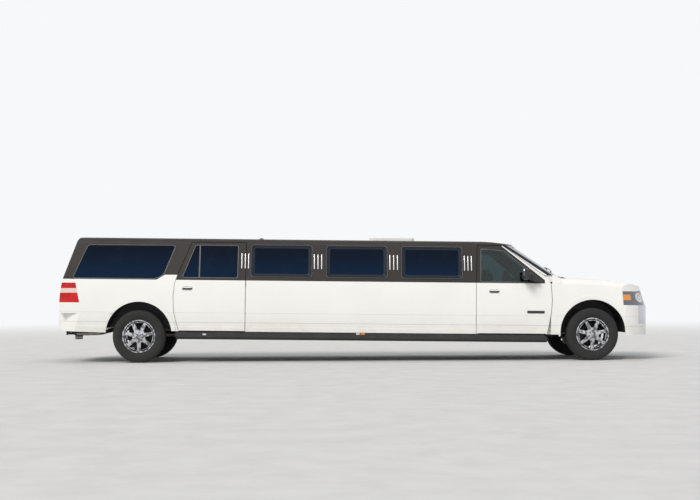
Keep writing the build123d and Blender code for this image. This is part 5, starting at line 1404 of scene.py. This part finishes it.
def make_dash():
    """The driver's hood over the dials, round vents, a blank screen, a console and a selector."""
    mesh = bmesh.new()
    hood_rings = ((0, -0.004), (0.0, 0.022), (0.010, 0.026), (0.016, 0.010))
    add_plate(mesh, placed(*on_dash(*dial_hood_place), cross_line), *dial_hood_size, hood_rings)
    vent = [(-0.004, 0.040), (0.008, 0.040), (0.010, 0.036), (0.002, 0.032), (0.004, 0.0)]
    for y in vent_ys:
        add_lathe(mesh, vent, *on_dash(y, vent_z), 32)
    piece_of("dash_trim", mesh, "black_plastic", "car", 40.0)
    mesh = bmesh.new()
    turn = placed(*on_dash(*screen_place), cross_line)
    add_block(mesh, turn @ Matrix.Translation((0, 0, screen_out)), screen_size)
    piece_of("dash_screen", mesh, "edge_grey", "car", 40.0, 0.004)
    mesh = bmesh.new()
    for front, z, pitch, size in console_blocks:
        add_block(mesh, turned_about((hip_x + front, 0, z), pitch), size)
    stem = Vector((hip_x + stem_front, 0, stem_low_z))
    add_tube(mesh, [stem, stem + stem_line], stem_radius)
    knob = [(-0.02, 0.008), (-0.012, 0.019), (0.010, 0.021), (0.022, 0.014), (0.025, 0.0)]
    add_lathe(mesh, knob, stem + knob_place, knob_axis, 24)
    piece_of("centre_console", mesh, "trim_dark", "car", 40.0, 0.012, level=True)


def make_cabin_mirror():
    """The mirror that hangs behind the windshield."""
    spot, normal = cast("windshield", (0.5, 0.0, hanger_z), (1, 0, 0))
    mesh = bmesh.new()
    rings = ((0.010, -0.022), (0, -0.008), (0, 0.0), (0.004, 0.003))
    turn = placed(spot + hanging, cabin_mirror_face, cross_line)
    add_plate(mesh, turn, *cabin_mirror_size, rings)
    add_tube(mesh, [spot + normal * 0.002, spot + hanger_bend, turn.translation], hanger_radius)
    piece_of("cabin_mirror", mesh, "black_plastic", "car", 50.0)


# Inner panels of the side doors: their ends and heights, and how far they stand off the door
trim_ends = {
    "front_door": (front_door_rear_x + 0.10, front_door_front_x - 0.20),
    "rear_door": (rear_door_front_x - 0.90, rear_door_front_x - 0.13),
}
trim_low_z = 0.60
trim_high_z = 1.16
trim_columns = 24
trim_rows = 14
trim_groove_rows = (9, 10)
trim_pad = 0.010
trim_groove_pad = 0.006
trim_edge_pad = 0.0005
armrest_z = 0.88
armrest_size = (0.42, 0.055, 0.050)
armrest_out = 0.025
speaker_share = 0.72
speaker_z = 0.71


def make_door_trims():
    """The inner panel of each side door, with its armrest and speaker."""
    speaker = [(0.008, 0.075), (0.016, 0.073), (0.016, 0.066), (0.011, 0.064), (0.013, 0.0)]
    for side_name, side in sides.items():
        for door, (low_x, high_x) in trim_ends.items():
            node_name = f"{side_name}_{door}"
            mesh = bmesh.new()
            grid = []
            for i in range(trim_columns + 1):
                line = []
                for j in range(trim_rows + 1):
                    x = low_x + (high_x - low_x) * i / trim_columns
                    z = trim_low_z + (trim_high_z - trim_low_z) * j / trim_rows
                    spot, normal = inside(node_name, x, z, side)
                    pad = trim_groove_pad if j in trim_groove_rows else trim_pad
                    if i in (0, trim_columns) or j in (0, trim_rows):
                        pad = trim_edge_pad
                    line.append(mesh.verts.new(spot + normal * pad))
                grid.append(line)
            for first, second in zip(grid, grid[1:]):
                for j in range(trim_rows):
                    mesh.faces.new((first[j], second[j], second[j + 1], first[j + 1]))
            rest = inside(node_name, (low_x + high_x) / 2, armrest_z, side)
            turn = placed(*rest, Vector((1, 0, 0)))
            add_block(mesh, turn @ Matrix.Translation((0, 0, armrest_out)), armrest_size)
            speaker_x = low_x + (high_x - low_x) * speaker_share
            add_lathe(mesh, speaker, *inside(node_name, speaker_x, speaker_z, side), 32)
            piece_of(f"{node_name}_trim", mesh, "trim_dark", node_name, 40.0, 0.004)


# Coil springs with their dampers, under the body
spring_turns = 6
spring_steps = 24
spring_wire = 0.008
spring_radius = 0.055
spring_y = 0.600
spring_foot_z = 0.345
spring_head_z = 0.540


def make_springs():
    """A coil spring and a damper at each wheel."""
    damper = [(-0.11, 0.020), (0.09, 0.020), (0.092, 0.010), (0.21, 0.010)]
    steps = spring_steps * spring_turns
    for end, axle_x in (("front", front_axle_x), ("rear", rear_axle_x)):
        for side_name, side in sides.items():
            mesh = bmesh.new()
            base = Vector((axle_x, side * spring_y, spring_foot_z))
            line = []
            for step in range(steps + 1):
                a = 2 * pi * step / spring_steps
                rise = (spring_head_z - spring_foot_z) * step / steps
                line.append(base + Vector((cos(a) * spring_radius, sin(a) * spring_radius, rise)))
            add_tube(mesh, line, spring_wire, 8)
            add_lathe(mesh, damper, base, Vector((0, 0, 1)), 20)
            piece_of(f"{side_name}_{end}_spring", mesh, "frame_black", "car", 50.0)


# Everything, in order
make_tyres()
make_wheel_details()
make_surrounds()
make_pane_edges()
make_pillar_bars()
make_handles()
make_door_strips()
make_markers()
make_antenna()
make_vent_ribs()
make_wipers()
make_rear_wiper()
make_mirror_glasses()
make_exhaust_tip()
make_seats()
make_dash()
make_cabin_mirror()
make_door_trims()
make_springs()


# Floor, light and background
floor_reach = 90.0
fade_start = 11.0
fade_end = 34.0
backdrop_tone = (0.93, 0.94, 0.95, 1.0)
sun_strength = 2.1
sun_width = 24
sun_tone = (1.0, 0.975, 0.94)
sun_way = Vector((0.42, 0.62, -0.66))
fill_strength = 0.62
fill_tone = (0.94, 0.97, 1.0, 1.0)


def make_floor():
    """A plain pale floor that fades into the background far from the object."""
    mesh = bmesh.new()
    bmesh.ops.create_circle(mesh, cap_ends=True, segments=96, radius=floor_reach)
    floor = new_object("floor", mesh)
    look = Look("floor", (0.62, 0.61, 0.60), 0.85)
    mottle = look.spread(look.noise(2.5, 6.0, 0.6), 0.3, 0.7)
    tone = look.blend(mottle, (0.60, 0.59, 0.58), (0.66, 0.65, 0.64))
    look.finish(tone, look.relief(look.noise(60.0, 4.0), 0.002, 0.2))
    fade = look.times(look.spread(look.away(), fade_start, fade_end), seen_directly(look.tree))
    backdrop = look.node("ShaderNodeEmission", {"Color": backdrop_tone, "Strength": 1.0})
    mixed = mix_shaders(look.tree, fade, look.shader, backdrop)
    feed(look.tree, look.tree.nodes["Material Output"].inputs["Surface"], mixed)
    floor.data.materials.append(look.made)


def mix_shaders(tree, share, first, second):
    """A mix of two shader nodes, by a share."""
    inputs = {0: share, 1: first.outputs[0], 2: second.outputs[0]}
    return add_node(tree, "ShaderNodeMixShader", inputs).outputs[0]


def seen_directly(tree):
    """One where a ray comes from the camera, a gloss or a glass, and zero elsewhere."""
    path = add_node(tree, "ShaderNodeLightPath")
    total = path.outputs["Is Camera Ray"]
    for kind in ("Is Glossy Ray", "Is Transmission Ray"):
        inputs = {0: total, 1: path.outputs[kind]}
        total = add_node(tree, "ShaderNodeMath", inputs, operation="MAXIMUM").outputs[0]
    return total


def make_light():
    """A broad soft lamp from high on the camera's left, and an even fill."""
    lamp = bpy.data.lights.new("key", "SUN")
    lamp.energy = sun_strength
    lamp.angle = radians(sun_width)
    lamp.color = sun_tone
    key = bpy.data.objects.new("key", lamp)
    key.rotation_euler = sun_way.to_track_quat("-Z", "Y").to_euler()
    bpy.context.scene.collection.objects.link(key)
    world = bpy.data.worlds.new("world")
    world.use_nodes = True
    bpy.context.scene.world = world
    tree = world.node_tree
    fill = tree.nodes["Background"]
    feed(tree, fill.inputs["Color"], fill_tone)
    feed(tree, fill.inputs["Strength"], fill_strength)
    seen = add_node(tree, "ShaderNodeBackground", {"Color": backdrop_tone, "Strength": 1.0})
    mixed = mix_shaders(tree, seen_directly(tree), fill, seen)
    feed(tree, tree.nodes["World Output"].inputs["Surface"], mixed)


make_floor()
make_light()
bpy.context.scene.view_settings.view_transform = "Standard"
